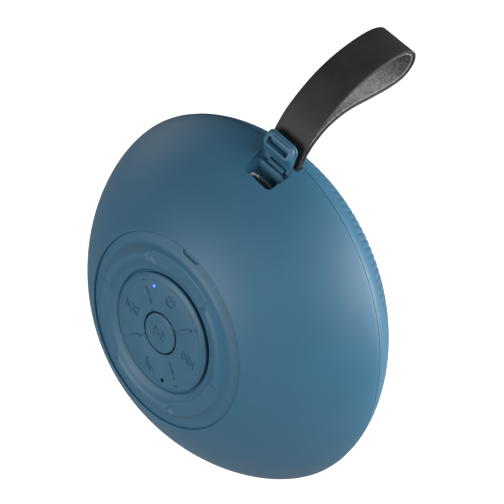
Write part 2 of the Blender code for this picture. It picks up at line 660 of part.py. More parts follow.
def build_port_plug():
    """The open plug: a lid that lies along y, with a hollow boss on the side facing the panel.

    Its tip is an arc about the hinge line and the back of its boss slants, so that it
    clears the recess when it swings closed by plug_closed.
    """
    face = PLUG_SKIN + PLUG_THICK
    rise = math.cos(plug_closed) / math.sin(plug_closed)
    boss_back = (PORT_STEP + GAP - PLUG_Z) / math.sin(plug_closed) + 0.1 * MM
    neck = PLUG_SKIN + PLUG_NECK
    first, last = math.asin(PLUG_SKIN / plug_toe), math.asin(face / plug_toe)
    section = [(0.35 * MM, PLUG_SKIN)]
    for i in range(5):
        angle = first + (last - first) * i / 4
        section.append((plug_toe * math.cos(angle), plug_toe * math.sin(angle)))
    section += [(boss_back - face * rise, face), (boss_back - neck * rise, neck),
                (0.35 * MM, neck)]
    hinge = hinge_line("plug_hinge", plug_y, PLUG_Z)
    half = PORT_X - GAP
    made = plate("port_plug", [section], -half, half, BLUE_RUBBER, parent=hinge)
    stand_across(made)
    outline = block("plug_outline", (-half, -2 * MM, -MM), (half, plug_toe, face + MM),
                    bevel=PLUG_CORNER, segments=4, edges="z", parent=hinge)
    width, length, depth = PLUG_SOCKET
    middle = (boss_back - face * rise + plug_toe * math.cos(last)) / 2
    hollow = block("plug_hollow", (-width / 2, middle - length / 2, face - depth),
                   (width / 2, middle + length / 2, face + MM), bevel=0.6 * MM,
                   segments=2, edges="z", parent=hinge)
    boolean(made, outline, 'INTERSECT')
    return boolean(made, hollow)


def stand_across(made):
    """Turn a plate whose outline was drawn in (y, z) so that it is extruded along x."""
    turn = Matrix(((0, 0, 1), (1, 0, 0), (0, 1, 0))).to_4x4()
    made.data.transform(turn)
    return made


build_port_plug()


# ===================================== strap ========================================
def build_strap():
    """The loop's side view, extruded across its width, with its root on the hinge line."""
    hinge_y, hinge_z = STRAP_HINGE
    half_root = STRAP_ROOT / 2
    out = [(2, 0.9), (5.4, 0.35), (10.2, -1.25), (15.2, -4.25), (20.2, -8.45), (24.4, -14.05),
           (27.6, -20.85), (29, -27.65), (27.4, -32.65), (23.4, -34.15), (19.4, -32.05),
           (17.2, -27.15), (15.8, -20.15), (14.3, -12.25), (11.2, -6.35), (6.9, -2.95), (3, -1.4)]
    outer = smooth_path([(hinge_y + y * MM, hinge_z + z * MM, 0) for y, z in out], 3)
    count = len(outer)
    inner = []
    for i in range(5, count - 5):
        along = (outer[i + 1] - outer[i - 1]).normalized()
        inward = Vector((along.y, -along.x, 0))
        inner.append(outer[i] + inward * STRAP_THICK)
    root = [(hinge_y - half_root * math.sin(math.pi * i / 6),
             hinge_z - half_root * math.cos(math.pi * i / 6)) for i in range(7)]
    rim = [(p.x, p.y) for p in outer] + root
    hinge = hinge_line("strap_hinge", hinge_y, hinge_z)
    shift = [[(y - hinge_y, z - hinge_z) for y, z in line]
             for line in (rim, [(p.x, p.y) for p in inner])]
    return stand_across(plate("strap_loop", shift, -STRAP_WIDTH / 2, STRAP_WIDTH / 2, LEATHER,
                              parent=hinge))


build_strap()
tail_end = STRAP_HINGE[0] - STRAP_ROOT / 2 - GAP


def build_strap_tail():
    """The two ends of the strap inside the casing, sewn round the anchor pin."""
    half = STRAP_ROOT / 2
    start = math.asin(half / EYE_RADIUS)
    eye = [(PIN_Y + EYE_RADIUS * math.cos(start + (2 * math.pi - 2 * start) * i / 14),
            STRAP_HINGE[1] + EYE_RADIUS * math.sin(start + (2 * math.pi - 2 * start) * i / 14))
           for i in range(15)]
    outline = eye + [(tail_end, STRAP_HINGE[1] - half), (tail_end, STRAP_HINGE[1] + half)]
    bore = [(PIN_Y + (PIN_RADIUS + GAP) * math.cos(2 * math.pi * i / 14),
             STRAP_HINGE[1] + (PIN_RADIUS + GAP) * math.sin(2 * math.pi * i / 14))
            for i in range(14)]
    return stand_across(plate("strap_tail", [outline, bore], -STRAP_WIDTH / 2, STRAP_WIDTH / 2,
                              LEATHER))


build_strap_tail()
pin_rod("strap_pin", PIN_RADIUS, PIN_LENGTH / 2, STEEL)

# ============================== grille, seal, cloth =================================
def build_front():
    """Perforated front cover, its lining cloth and the seal at the seam."""
    outer = front_profile(7)
    inner = front_profile(5, GRILLE_WALL)
    top = SEAM_Z - GAP / 2
    outer[0] = (outer[0][0], top)
    inner[0] = (inner[0][0], top)
    grille = turned("front_grille", outer + [(0, FRONT_Z), (0, FRONT_Z + GRILLE_WALL)] + inner[::-1],
                    BLUE, loop=True)
    grille_slots(grille)
    strap_notch = block("strap_notch", (-STRAP_WIDTH / 2 - GAP, BODY_RADIUS - 6 * MM, -28.9 * MM),
                        (STRAP_WIDTH / 2 + GAP, BODY_RADIUS + 6 * MM, top + MM))
    boolean(grille, strap_notch)

    above = [p for p in front_profile(5, GRILLE_WALL + GAP) if p[1] < SEAM_Z - 5 * MM]
    below = [p for p in front_profile(5, GRILLE_WALL + GAP + 0.5 * MM) if p[1] < SEAM_Z - 5 * MM]
    flat = FRONT_Z + GRILLE_WALL + GAP
    turned("grille_cloth", above + [(0, flat), (0, flat + 0.5 * MM)] + below[::-1], CLOTH)

    seal_outer = BODY_RADIUS - SHELL_WALL - 0.8 * MM
    seal = turned("seal_ring",
                  [(seal_outer, SEAM_Z + 1.0 * MM), (seal_outer, SEAM_Z - 2.2 * MM),
                   (seal_outer - SEAL_WIDTH, SEAM_Z - 2.2 * MM),
                   (seal_outer - SEAL_WIDTH, SEAM_Z + 1.0 * MM)], BLACK)
    boolean(seal, block("seal_gap",
                        (-PIN_LENGTH / 2 - 1.4 * MM, BODY_RADIUS / 2, SEAM_Z - 5 * MM),
                        (PIN_LENGTH / 2 + 1.4 * MM, BODY_RADIUS + 5 * MM, SEAM_Z + 5 * MM)))


def grille_slots(grille):
    """Radial slots: long ones round the dome and short ones nearer its middle."""
    rows = ((SLOT_COUNT, 29 * MM, 49.5 * MM, SLOT_WIDTH), (INNER_SLOT_COUNT, 14 * MM, 25 * MM, SLOT_WIDTH))
    for row, (count, near, far, width) in enumerate(rows):
        for i in range(count):
            angle = 2 * math.pi * (i + 0.5) / count
            x, y = polar((near + far) / 2, angle)
            slot = block(f"slot_{row}_{i}", (-width / 2, (near - far) / 2, FRONT_Z - 2 * MM),
                         (width / 2, (far - near) / 2, SEAM_Z - 6.5 * MM))
            slot.location = (x, y, 0)
            slot.rotation_euler = (0, 0, angle)
            boolean(grille, slot)


build_front()

# ================================ baffle and driver =================================
baffle_back = BAFFLE_Z + BAFFLE_THICK
flange_face = BAFFLE_Z - GAP
gasket_low = flange_face - 0.8 * MM
basket_top = gasket_low - GAP
basket_face = basket_top - FLANGE_THICK
yoke_back = -18.5 * MM
yoke_face = yoke_back - PLATE_THICK
magnet_back = yoke_face - GAP
magnet_face = magnet_back - MAGNET_THICK
plate_back = magnet_face - GAP
plate_face = plate_back - PLATE_THICK
pole_face = plate_face
spider_z = plate_face - 2.2 * MM
coil_front = spider_z - 3.2 * MM
coil_back = plate_back + 1.2 * MM
surround_outer = BAFFLE_HOLE + 1.0 * MM


def screw(name, x, y, head_low, shank_top):
    """A screw whose head faces the grille and whose shank runs towards the panel."""
    head_top = head_low + SCREW_HEAD_HEIGHT
    made = turned(name, [(0, shank_top), (SCREW_RADIUS * 0.8, shank_top),
                         (SCREW_RADIUS * 0.8, head_top), (SCREW_HEAD, head_top),
                         (SCREW_HEAD, head_low), (0, head_low)],
                  STEEL, 12, loop=False, at=(x, y, 0))
    return made


def build_baffle():
    """Disc that carries the driver and is screwed to the shell's four bosses."""
    baffle = turned("baffle", [(BAFFLE_HOLE, baffle_back), (BAFFLE_RADIUS, baffle_back),
                               (BAFFLE_RADIUS, BAFFLE_Z), (BAFFLE_HOLE, BAFFLE_Z)], BLACK)
    for i in range(4):
        angle = math.radians(45 + 90 * i)
        x, y = polar(CASE_SCREW_ORBIT, angle)
        boolean(baffle, rod(f"case_hole_{i}", SCREW_RADIUS + GAP, BAFFLE_Z - MM, baffle_back + MM,
                            x=x, y=y, steps=12))
        screw(f"case_screw_{i + 1}", x, y, BAFFLE_Z - GAP - SCREW_HEAD_HEIGHT,
              baffle_back + SCREW_LENGTH - MM)
        x, y = polar(DRIVER_SCREW_ORBIT, angle)
        boolean(baffle, rod(f"driver_hole_{i}", SCREW_RADIUS + GAP, BAFFLE_Z - MM,
                            baffle_back + MM, x=x, y=y, steps=12))
        screw(f"driver_screw_{i + 1}", x, y, basket_face - GAP - SCREW_HEAD_HEIGHT,
              baffle_back - 0.3 * MM)
    return baffle


def build_driver():
    """Basket, magnet system, suspension and the moving cone with its coil."""
    rim_low, rim_in = basket_face, BAFFLE_HOLE - 1.9 * MM
    basket = turned("driver_basket",
                    [(rim_in, basket_top + 1.2 * MM), (BAFFLE_HOLE - GAP, basket_top + 1.2 * MM),
                     (BAFFLE_HOLE - GAP, basket_top), (FLANGE_RADIUS, basket_top),
                     (FLANGE_RADIUS, rim_low), (rim_in, rim_low)], STEEL, DRIVER_STEPS)
    seat = plate_face - GAP
    ring_out = MAGNET_RADIUS - 0.6 * MM
    back = turned("basket_back",
                  [(11 * MM, seat), (ring_out, seat), (ring_out, seat - 1.2 * MM),
                   (11 * MM, seat - 1.2 * MM)], steps=DRIVER_STEPS)
    boolean(basket, back, 'UNION')
    for i in range(4):
        arm = arm_solid(f"arm_{i}", ring_out - 1.2 * MM, rim_in + 0.8 * MM, seat - 0.6 * MM,
                        basket_top + 0.9 * MM)
        arm.rotation_euler = (0, 0, math.radians(90 * i + 45))
        boolean(basket, arm, 'UNION')
    for i in range(4):
        x, y = polar(DRIVER_SCREW_ORBIT, math.radians(45 + 90 * i))
        boolean(basket, rod(f"basket_hole_{i}", SCREW_RADIUS + GAP, basket_face - MM,
                            basket_top + MM, x=x, y=y, steps=12))
    gasket = turned("driver_gasket", [(BAFFLE_HOLE + GAP, flange_face), (FLANGE_RADIUS, flange_face),
                                      (FLANGE_RADIUS, gasket_low), (BAFFLE_HOLE + GAP, gasket_low)],
                    FOAM, DRIVER_STEPS)
    for i in range(4):
        x, y = polar(DRIVER_SCREW_ORBIT, math.radians(45 + 90 * i))
        boolean(gasket, rod(f"gasket_hole_{i}", SCREW_RADIUS + GAP, gasket_low - MM, flange_face + MM,
                            x=x, y=y, steps=12))
    turned("magnet_yoke", [(0, yoke_back), (MAGNET_RADIUS - MM, yoke_back),
                           (MAGNET_RADIUS - MM, yoke_face), (POLE_RADIUS, yoke_face),
                           (POLE_RADIUS, pole_face), (0, pole_face)], STEEL, DRIVER_STEPS, loop=False)
    turned("magnet_ring", [(11 * MM, magnet_back), (MAGNET_RADIUS, magnet_back),
                           (MAGNET_RADIUS, magnet_face), (11 * MM, magnet_face)], FERRITE, DRIVER_STEPS)
    turned("top_plate", [(COIL_RADIUS + 0.8 * MM, plate_back), (MAGNET_RADIUS - MM, plate_back),
                         (MAGNET_RADIUS - MM, plate_face), (COIL_RADIUS + 0.8 * MM, plate_face)],
           STEEL, DRIVER_STEPS)
    turned("voice_coil", [(COIL_RADIUS - COIL_WALL, coil_back), (COIL_RADIUS, coil_back),
                          (COIL_RADIUS, coil_front), (COIL_RADIUS - COIL_WALL, coil_front)],
           COPPER, DRIVER_STEPS)


def arm_solid(name, near, far, high, low):
    """A sloping bar from the basket's back ring to its front rim."""
    shape = bmesh.new()
    bmesh.ops.create_cube(shape, size=2.0)
    for vert in shape.verts:
        side, along, rise = vert.co
        reach, level = (far, low) if along > 0 else (near, high)
        vert.co = (side * 2.4 * MM, reach, level + rise * 0.6 * MM)
    return place(from_bmesh(name, shape))


def build_moving_cone():
    """Cone, dust cap, surround and spider round the coil."""
    throat = COIL_RADIUS + GAP
    cone_back = coil_front + 0.5 * MM
    cone_front = basket_face + 0.2 * MM
    turned("cone", [(throat, cone_back + 0.4 * MM), (throat + 1.0 * MM, cone_back - 0.1 * MM),
                    (CONE_RADIUS, cone_front + 0.5 * MM), (CONE_RADIUS, cone_front - 0.1 * MM),
                    (throat + 0.8 * MM, cone_back - 0.9 * MM), (throat, cone_back - 0.9 * MM)],
           PAPER, DRIVER_STEPS)
    cap_edge = coil_front - GAP
    cap = [(COIL_RADIUS * math.sin(math.radians(a)),
            cap_edge - 2.6 * MM * math.cos(math.radians(a))) for a in (90, 66, 44, 22)]
    turned("dust_cap", cap + [(0, cap_edge - 2.6 * MM), (0, cap_edge - 2.0 * MM)]
           + [(COIL_RADIUS * 0.9 * math.sin(math.radians(a)),
               cap_edge - 2.0 * MM * math.cos(math.radians(a))) for a in (22, 44, 66, 90)],
           PAPER, SMALL_STEPS)
    turned("surround", roll_section(CONE_RADIUS + GAP, surround_outer,
                                    basket_face - GAP - 0.5 * MM, -2.2 * MM, 0.5 * MM), BLACK, DRIVER_STEPS)
    turned("spider", roll_section(COIL_RADIUS + GAP, 14.6 * MM, spider_z, -1.0 * MM, 0.4 * MM),
           CLOTH, SMALL_STEPS)


def roll_section(near, far, level, height, thick):
    """A half-roll between two flat lips: outer points one way, inner points back."""
    lip = 1.0 * MM
    upper = [(near, level + thick)]
    lower = [(near, level)]
    for i in range(5):
        angle = math.pi * i / 4
        r = near + lip + (far - near - 2 * lip) * (1 - math.cos(angle)) / 2
        z = level + height * math.sin(angle)
        upper.append((r, z + thick))
        lower.append((r, z))
    upper.append((far, level + thick))
    lower.append((far, level))
    return upper + lower[::-1]


build_baffle()
build_driver()
build_moving_cone()

# ===================================== leads ========================================
lead("battery_lead", [(half_x + 1.8 * MM, 8 * MM, cell_top - 4.2 * MM),
                      (half_x + 2.5 * MM, 14 * MM, cell_top - 6 * MM),
                      (20 * MM, 27 * MM, main_top + 2.5 * MM),
                      (10.5 * MM, main_near + 8 * MM, main_top + 1.4 * MM)], 0.5 * MM, RED_WIRE)
lead("speaker_lead", [(-19 * MM, 4 * MM, -28.5 * MM), (-22 * MM, 12 * MM, -26 * MM),
                      (-17 * MM, 24 * MM, -23 * MM), (-9 * MM, main_near + 3 * MM, main_low - 0.9 * MM)],
     0.5 * MM, RED_WIRE)

# =================================== finishing ======================================
for made in parts.objects:
    if made.type == 'MESH':
        made.data.shade_smooth()
        made.data.set_sharp_from_angle(angle=math.radians(35))
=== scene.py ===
# %% [markdown]
# # A round shower speaker
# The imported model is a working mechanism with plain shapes. This file gives it its looks.
# Its frame has +Y out of the rear control panel, along the speaker's axis, and +Z towards
# the wrist strap. Loading it first means that each new piece can be drawn exactly where
# the working piece is, so nothing has to be fitted afterwards.

# %% Load the working model
import json
import math

import bmesh
import bpy
import numpy as np
from mathutils import Matrix, Vector


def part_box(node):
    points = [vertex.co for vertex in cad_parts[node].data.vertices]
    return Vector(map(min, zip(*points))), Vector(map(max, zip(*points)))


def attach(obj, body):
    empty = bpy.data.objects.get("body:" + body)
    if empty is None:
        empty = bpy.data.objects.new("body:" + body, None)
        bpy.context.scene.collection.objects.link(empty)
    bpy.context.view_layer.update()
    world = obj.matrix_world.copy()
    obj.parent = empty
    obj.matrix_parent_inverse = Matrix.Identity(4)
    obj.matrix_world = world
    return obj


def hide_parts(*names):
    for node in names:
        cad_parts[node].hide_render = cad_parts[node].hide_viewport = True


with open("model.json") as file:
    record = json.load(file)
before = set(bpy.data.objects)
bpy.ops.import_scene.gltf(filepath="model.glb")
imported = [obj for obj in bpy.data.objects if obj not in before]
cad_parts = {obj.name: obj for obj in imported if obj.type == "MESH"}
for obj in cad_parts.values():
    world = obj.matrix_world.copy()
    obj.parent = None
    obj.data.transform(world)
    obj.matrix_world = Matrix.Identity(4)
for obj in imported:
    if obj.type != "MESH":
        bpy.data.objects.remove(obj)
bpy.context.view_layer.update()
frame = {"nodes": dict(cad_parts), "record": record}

# %% [markdown]
# ## Drawing round the axis
# Nearly everything on this speaker is turned: the casing, the ring and the keypad share one
# axis. A point is therefore given by a radius, a turn from the strap and a height along the
# axis. One helper turns those three arrays into positions, and one makes a closed mesh from
# a grid of positions. A Spin or Screw would also turn a section, but it couldn't let the
# section change on its way round, which the ring's flats and the cover's grooves need.

# %% Grids of points to closed meshes
MM = 0.001


def around(radius, turn, height):
    """Positions: x = radius times sin(turn), y = height, z = radius times cos(turn)."""
    radius, turn, height = np.broadcast_arrays(radius, turn, height)
    return np.stack([radius * np.sin(turn), height, radius * np.cos(turn)], axis=-1)


def closed_mesh(name, grid, ends="join"):
    """A mesh from a (sections, points, 3) grid. Each section is a closed loop.

    With ends="join" the last section meets the first, and with "cap" each end section
    becomes one flat face. Points that fall together, as at a pole, are merged.
    """
    sections, points = grid.shape[:2]
    rows = sections if ends == "join" else sections - 1
    i, j = np.meshgrid(np.arange(rows), np.arange(points), indexing="ij")
    after, beside = (i + 1) % sections, (j + 1) % points
    quads = np.stack([i * points + j, i * points + beside,
                      after * points + beside, after * points + j], axis=-1).reshape(-1, 4)
    faces = quads.tolist()
    if ends == "cap":
        faces.append(list(range(points - 1, -1, -1)))
        faces.append([(sections - 1) * points + k for k in range(points)])
    mesh = bpy.data.meshes.new(name)
    mesh.from_pydata(grid.reshape(-1, 3).tolist(), [], faces)
    tidy_mesh(mesh)
    made = bpy.data.objects.new(name, mesh)
    bpy.context.scene.collection.objects.link(made)
    return made


def tidy_mesh(mesh, sharp=40.0):
    """Merge points that coincide, turn all faces outwards, and shade smoothly up to an angle."""
    shape = bmesh.new()
    shape.from_mesh(mesh)
    bmesh.ops.remove_doubles(shape, verts=shape.verts, dist=1e-7)
    bmesh.ops.dissolve_degenerate(shape, edges=shape.edges, dist=1e-8)
    bmesh.ops.recalc_face_normals(shape, faces=shape.faces)
    shape.to_mesh(mesh)
    shape.free()
    mesh.shade_smooth()
    mesh.set_sharp_from_angle(angle=math.radians(sharp))


def smoothstep(low, high, value):
    """0 below low, 1 above high, and 3t^2 - 2t^3 between."""
    t = np.clip((value - low) / (high - low), 0.0, 1.0)
    return t * t * (3.0 - 2.0 * t)


def rounded_path(corners, radii, per_corner=6):
    """A closed 2-D loop through corners, each replaced by a quadratic arc of about its radius."""
    corners = np.array(corners, float)
    before, after = np.roll(corners, 1, axis=0), np.roll(corners, -1, axis=0)
    pieces = []
    for here, back, on, radius in zip(corners, before, after, radii):
        to_back, to_on = back - here, on - here
        cut = min(radius, 0.49 * np.linalg.norm(to_back), 0.49 * np.linalg.norm(to_on))
        start = here + to_back / np.linalg.norm(to_back) * cut
        end = here + to_on / np.linalg.norm(to_on) * cut
        t = np.linspace(0.0, 1.0, per_corner if radius > 0 else 1)[:, None]
        pieces.append((1 - t) ** 2 * start + 2 * t * (1 - t) * here + t * t * end
                      if radius > 0 else here[None, :])
    return np.concatenate(pieces)


def turned(name, section, steps=256, sharp=40.0):
    """Turn a closed (radius, height) loop once round the axis."""
    section = np.array(section)
    turn = np.linspace(0.0, 2 * np.pi, steps, endpoint=False)[:, None]
    made = closed_mesh(name, around(section[None, :, 0], turn, section[None, :, 1]))
    made.data.set_sharp_from_angle(angle=math.radians(sharp))
    return made


def joined(name, *pieces):
    """One mesh that holds several closed shells. The pieces are used up."""
    shape = bmesh.new()
    for piece in pieces:
        shape.from_mesh(piece.data)
        bpy.data.objects.remove(piece, do_unlink=True)
    mesh = bpy.data.meshes.new(name)
    shape.to_mesh(mesh)
    shape.free()
    mesh.shade_smooth()
    mesh.set_sharp_from_angle(angle=math.radians(40))
    made = bpy.data.objects.new(name, mesh)
    bpy.context.scene.collection.objects.link(made)
    return made


def stands_for(piece, body, slot, *nodes):
    """The piece moves with a body and hides the nodes that it replaces. The slot is not used."""
    piece.name = piece.name.replace(" ", "_")
    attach(piece, body)
    if nodes:
        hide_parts(*nodes)
    print(piece.name, len(piece.data.polygons), "faces on", body)
    return piece


# %% [markdown]
# ## Shader maths as plain expressions
# Every finish below is a small sum: some noise, a mask, a mix of two colours. Written as
# nodes that takes pages, so one class wraps a socket and lets Python's operators add the
# Math nodes, and one function adds any other node.

# %% A socket that can be added, multiplied and so on
class Wire:
    """One output socket. Operators on it add Math nodes to its tree."""

    def __init__(self, tree, socket):
        self.tree = tree
        self.socket = socket

    def maths(self, operation, *values):
        return add_node(self.tree, "ShaderNodeMath", {"operation": operation},
                        dict(enumerate(values)))

    def __add__(self, other):
        return self.maths('ADD', self, other)

    __radd__ = __add__

    def __sub__(self, other):
        return self.maths('SUBTRACT', self, other)

    def __rsub__(self, other):
        return self.maths('SUBTRACT', other, self)

    def __mul__(self, other):
        return self.maths('MULTIPLY', self, other)

    __rmul__ = __mul__

    def step(self, low, high):
        """0 below low, 1 above high, smooth between."""
        return add_node(self.tree, "ShaderNodeMapRange", {"interpolation_type": 'SMOOTHSTEP'},
                        {"Value": self, "From Min": low, "From Max": high})


def add_node(tree, kind, settings=None, sockets=None, output=0):
    """Add a node, set its settings, then fill its sockets with values or wires."""
    made = tree.nodes.new(kind)
    for key, value in (settings or {}).items():
        setattr(made, key, value)
    for key, value in (sockets or {}).items():
        if isinstance(value, Wire):
            tree.links.new(value.socket, made.inputs[key])
        else:
            made.inputs[key].default_value = value
    return Wire(tree, made.outputs[output])


class Finish:
    """A material with one Principled shader, and short words for the nodes used most."""

    def __init__(self, name, **even):
        self.material = bpy.data.materials.new(name)
        self.material.use_nodes = True
        self.tree = self.material.node_tree
        self.shader = self.tree.nodes["Principled BSDF"]
        for key, value in even.items():
            self.shader.inputs[key.replace("_", " ")].default_value = value
        self.place = self.node("ShaderNodeTexCoord", output=3)

    def node(self, kind, settings=None, sockets=None, output=0):
        return add_node(self.tree, kind, settings, sockets, output)

    def noise(self, size, detail=3.0, roughness=0.5, where=None):
        """Noise from 0 to 1 whose spots are about size metres across."""
        return self.node("ShaderNodeTexNoise", None,
                         {"Vector": where or self.place, "Scale": 1.0 / size, "Detail": detail,
                          "Roughness": roughness})

    def mixed(self, factor, first, second):
        """The first colour where the factor is 0, and the second where it is 1."""
        return self.node("ShaderNodeMix", {"data_type": 'RGBA'},
                         {"Factor": factor, 6: first, 7: second}, 2)

    def feed(self, **wires):
        for key, wire in wires.items():
            self.tree.links.new(wire.socket, self.shader.inputs[key.replace("_", " ")])

    def bump(self, *layers):
        """Bump layers, each a (height wire, depth in metres, strength), one over the other."""
        under = None
        for height, depth, strength in layers:
            sockets = {"Height": height, "Distance": depth, "Strength": strength}
            if under:
                sockets["Normal"] = under
            under = self.node("ShaderNodeBump", None, sockets)
        self.feed(Normal=under)


def paint(piece, finish):
    """Give an object one finish in all its slots."""
    piece.data.materials.clear()
    piece.data.materials.append(finish.material)


# %% [markdown]
# ## Blue casing and silicone
# The casing is moulded plastic with a soft-touch coat: no gloss, but a wide pale highlight
# where the surface turns to the light, and a fine even grain. Noise a fifth of a
# millimetre across gives the grain, and slow noise moves the roughness a little so that
# highlights aren't perfectly even. The keypad is the same blue in silicone.

# %% Blue finishes
BLUE = (0.029, 0.112, 0.186, 1.0)
BLUE_PALE = (0.034, 0.124, 0.204, 1.0)


def blue_finish(name, grain, depth, rough, coat):
    """Soft blue plastic: grain is the spot size and depth the bump, both in metres."""
    made = Finish(name, IOR=1.46, Coat_Weight=coat, Coat_Roughness=0.55)
    slow = made.noise(14 * MM, 2.0)
    fine = made.noise(grain, 2.0, 0.6)
    dust = made.noise(0.9 * MM, 4.0, 0.7).step(0.62, 0.80)
    made.feed(Base_Color=made.mixed((slow * 0.5 + fine * 0.5).step(0.25, 0.75), BLUE, BLUE_PALE),
              Roughness=rough + slow * 0.08 + fine * 0.05 + dust * 0.04)
    made.bump((fine, depth, 0.55), (slow, 0.02 * MM, 0.15))
    return made


casing_blue = blue_finish("soft touch casing", 0.22 * MM, 0.035 * MM, 0.42, 0.04)
silicone_blue = blue_finish("keypad silicone", 0.16 * MM, 0.018 * MM, 0.44, 0.03)

# %% [markdown]
# ## Rear casing
# The rear half is a deep bowl whose outline is a super-ellipse: full at the seam, then
# running almost straight to the panel. It could be a sphere squashed flat, but that gives
# the wrong shoulder. Its section is worked out as a formula, given a wall, and turned.
# The port's recess is then cut with rounded blocks, as a mould's slide would form it.

# %% The casing's outline
BODY_RADIUS = 53.9 * MM
SEAM_HEIGHT = -28.5 * MM
REAR_DEPTH = 34.65 * MM
WALL = 2.0 * MM
PANEL_OPENING = 28.45 * MM


def rear_radius(height):
    """Radius = R sqrt(1 - ((height - seam) / depth) ^ 1.4)."""
    rise = np.clip((np.asarray(height) - SEAM_HEIGHT) / REAR_DEPTH, 0.0, 1.0)
    return BODY_RADIUS * np.sqrt(1.0 - rise ** 1.4)


def rear_height(radius):
    """The same outline, solved for the height."""
    return SEAM_HEIGHT + REAR_DEPTH * (1 - (np.asarray(radius) / BODY_RADIUS) ** 2) ** (1 / 1.4)


def offset(points, distance):
    """Move an open 2-D line sideways, towards the axis side of its direction of travel."""
    along = np.gradient(points, axis=0)
    along /= np.linalg.norm(along, axis=1)[:, None]
    return points + distance * np.stack([along[:, 1], -along[:, 0]], axis=-1)


# %% Turn the rear casing
lip = 0.55 * MM
top_radius = PANEL_OPENING + lip
heights = np.linspace(float(rear_height(top_radius)), SEAM_HEIGHT + 0.28 * MM, 90)
outer = np.stack([rear_radius(heights), heights], axis=-1)
roll = np.linspace(0.0, np.pi / 2, 7)[:-1]
edge_in = np.stack([outer[0, 0] - lip * np.cos(roll), outer[0, 1] - lip + lip * np.sin(roll)],
                   axis=-1)
seam_roll = np.array([[BODY_RADIUS - 0.03 * MM, SEAM_HEIGHT + 0.12 * MM],
                      [BODY_RADIUS - 0.14 * MM, SEAM_HEIGHT + 0.03 * MM]])
inner = offset(outer, WALL)
inner = inner[(inner[:, 0] > PANEL_OPENING + 4 * MM)][::-1]
inner[0, 1] = SEAM_HEIGHT + 0.03 * MM
flange = np.array([[inner[-1, 0] - 1.2 * MM, -5.2 * MM], [19.6 * MM, -5.2 * MM],
                   [19.6 * MM, -3.6 * MM], [PANEL_OPENING, -3.6 * MM]])
section = np.concatenate([edge_in, outer, seam_roll, inner, flange])
rear_casing = turned("rear casing", section, 320)
print("rear casing section points:", len(section))

# %% [markdown]
# The recess: a deep pocket with the socket's window in its floor, a shallow ledge beside
# the strap, and the slot that the strap's root passes through. Its sharp edges are then
# bevelled, as a mould's radius would leave them.

# %% Rounded blocks for cutting
PORT_HALF = 5.5 * MM


def rounded_block(name, low, high, corner, across=2, steps=7):
    """A block whose four edges along one axis are rounded: a rounded outline, extruded."""
    plane = [k for k in range(3) if k != across]
    a, b = plane
    corners = [(low[a], low[b]), (high[a], low[b]), (high[a], high[b]), (low[a], high[b])]
    outline = rounded_path(corners, [corner] * 4, steps)
    grid = np.zeros((2, len(outline), 3))
    grid[:, :, a] = outline[None, :, 0]
    grid[:, :, b] = outline[None, :, 1]
    grid[0, :, across] = low[across]
    grid[1, :, across] = high[across]
    return closed_mesh(name, grid, "cap")


def carve(piece, other, operation='DIFFERENCE'):
    """Cut or join with an exact Boolean, keep the result, and drop the other piece."""
    step = piece.modifiers.new(other.name, 'BOOLEAN')
    step.operation = operation
    step.solver = 'EXACT'
    step.object = other
    bpy.context.view_layer.update()
    evaluated = piece.evaluated_get(bpy.context.evaluated_depsgraph_get())
    mesh = bpy.data.meshes.new_from_object(evaluated)
    piece.modifiers.clear()
    piece.data = mesh
    bpy.data.objects.remove(other, do_unlink=True)
    return piece


# %% Join the port housing and cut the recess
surface_limit = turned("surface limit", np.concatenate([
    offset(outer, 0.9 * MM), [[0.0, SEAM_HEIGHT + 0.28 * MM], [0.0, outer[0, 1] - 0.9 * MM]]]), 320)
housing = rounded_block("housing", (-PORT_HALF - 1.3 * MM, -26.5 * MM, 44.7 * MM),
                        (PORT_HALF + 1.3 * MM, -16.4 * MM, 54 * MM), 0.6 * MM)
carve(housing, surface_limit, 'INTERSECT')
carve(rear_casing, housing, 'UNION')
CUTS = (    # name, half width, y from and to, z from and to, corner radius, in mm
    ("deep pocket", 5.25, -23.8, -18.1, 46.0, 60.0, 1.9),
    ("mouth", 5.6, -25.6, -17.7, 50.3, 60.0, 1.9),
    ("socket window", 4.6, -23.15, -19.65, 42.0, 48.0, 1.72),
    ("anchor slot", 3.3, -25.6, -24.5, 47.3, 52.0, 0.3),
    ("strap slot", 6.0, -32.0, -26.2, 41.0, 60.0, 0.4),
    ("eye room", 6.0, -32.0, -25.4, 41.0, 47.5, 0.4),
)
for name, half, low_y, high_y, low_z, high_z, corner in CUTS:
    carve(rear_casing, rounded_block(name, (-half * MM, low_y * MM, low_z * MM),
                                     (half * MM, high_y * MM, high_z * MM), corner * MM))


def soften_edges(piece, low, high, width, sharp=35.0):
    """Bevel the sharp edges whose ends both lie inside a box, as a mould's radius would."""
    shape = bmesh.new()
    shape.from_mesh(piece.data)
    bmesh.ops.remove_doubles(shape, verts=shape.verts, dist=2e-6)
    inside = {v for v in shape.verts if all(low[k] < v.co[k] < high[k] for k in range(3))}
    edges = [e for e in shape.edges if e.verts[0] in inside and e.verts[1] in inside
             and len(e.link_faces) == 2 and e.calc_face_angle() > math.radians(sharp)]
    bmesh.ops.bevel(shape, geom=edges, offset=width, segments=2, profile=0.6, affect='EDGES',
                    clamp_overlap=True)
    shape.to_mesh(piece.data)
    shape.free()
    print("softened edges:", len(edges))


soften_edges(rear_casing, (-6.2 * MM, -26.0 * MM, 46.5 * MM), (6.2 * MM, -16.5 * MM, 56 * MM),
             0.16 * MM)
rear_casing.data.shade_smooth()
rear_casing.data.set_sharp_from_angle(angle=math.radians(32))
paint(rear_casing, casing_blue)
stands_for(rear_casing, "casing", "blue_casing", "rear_shell")
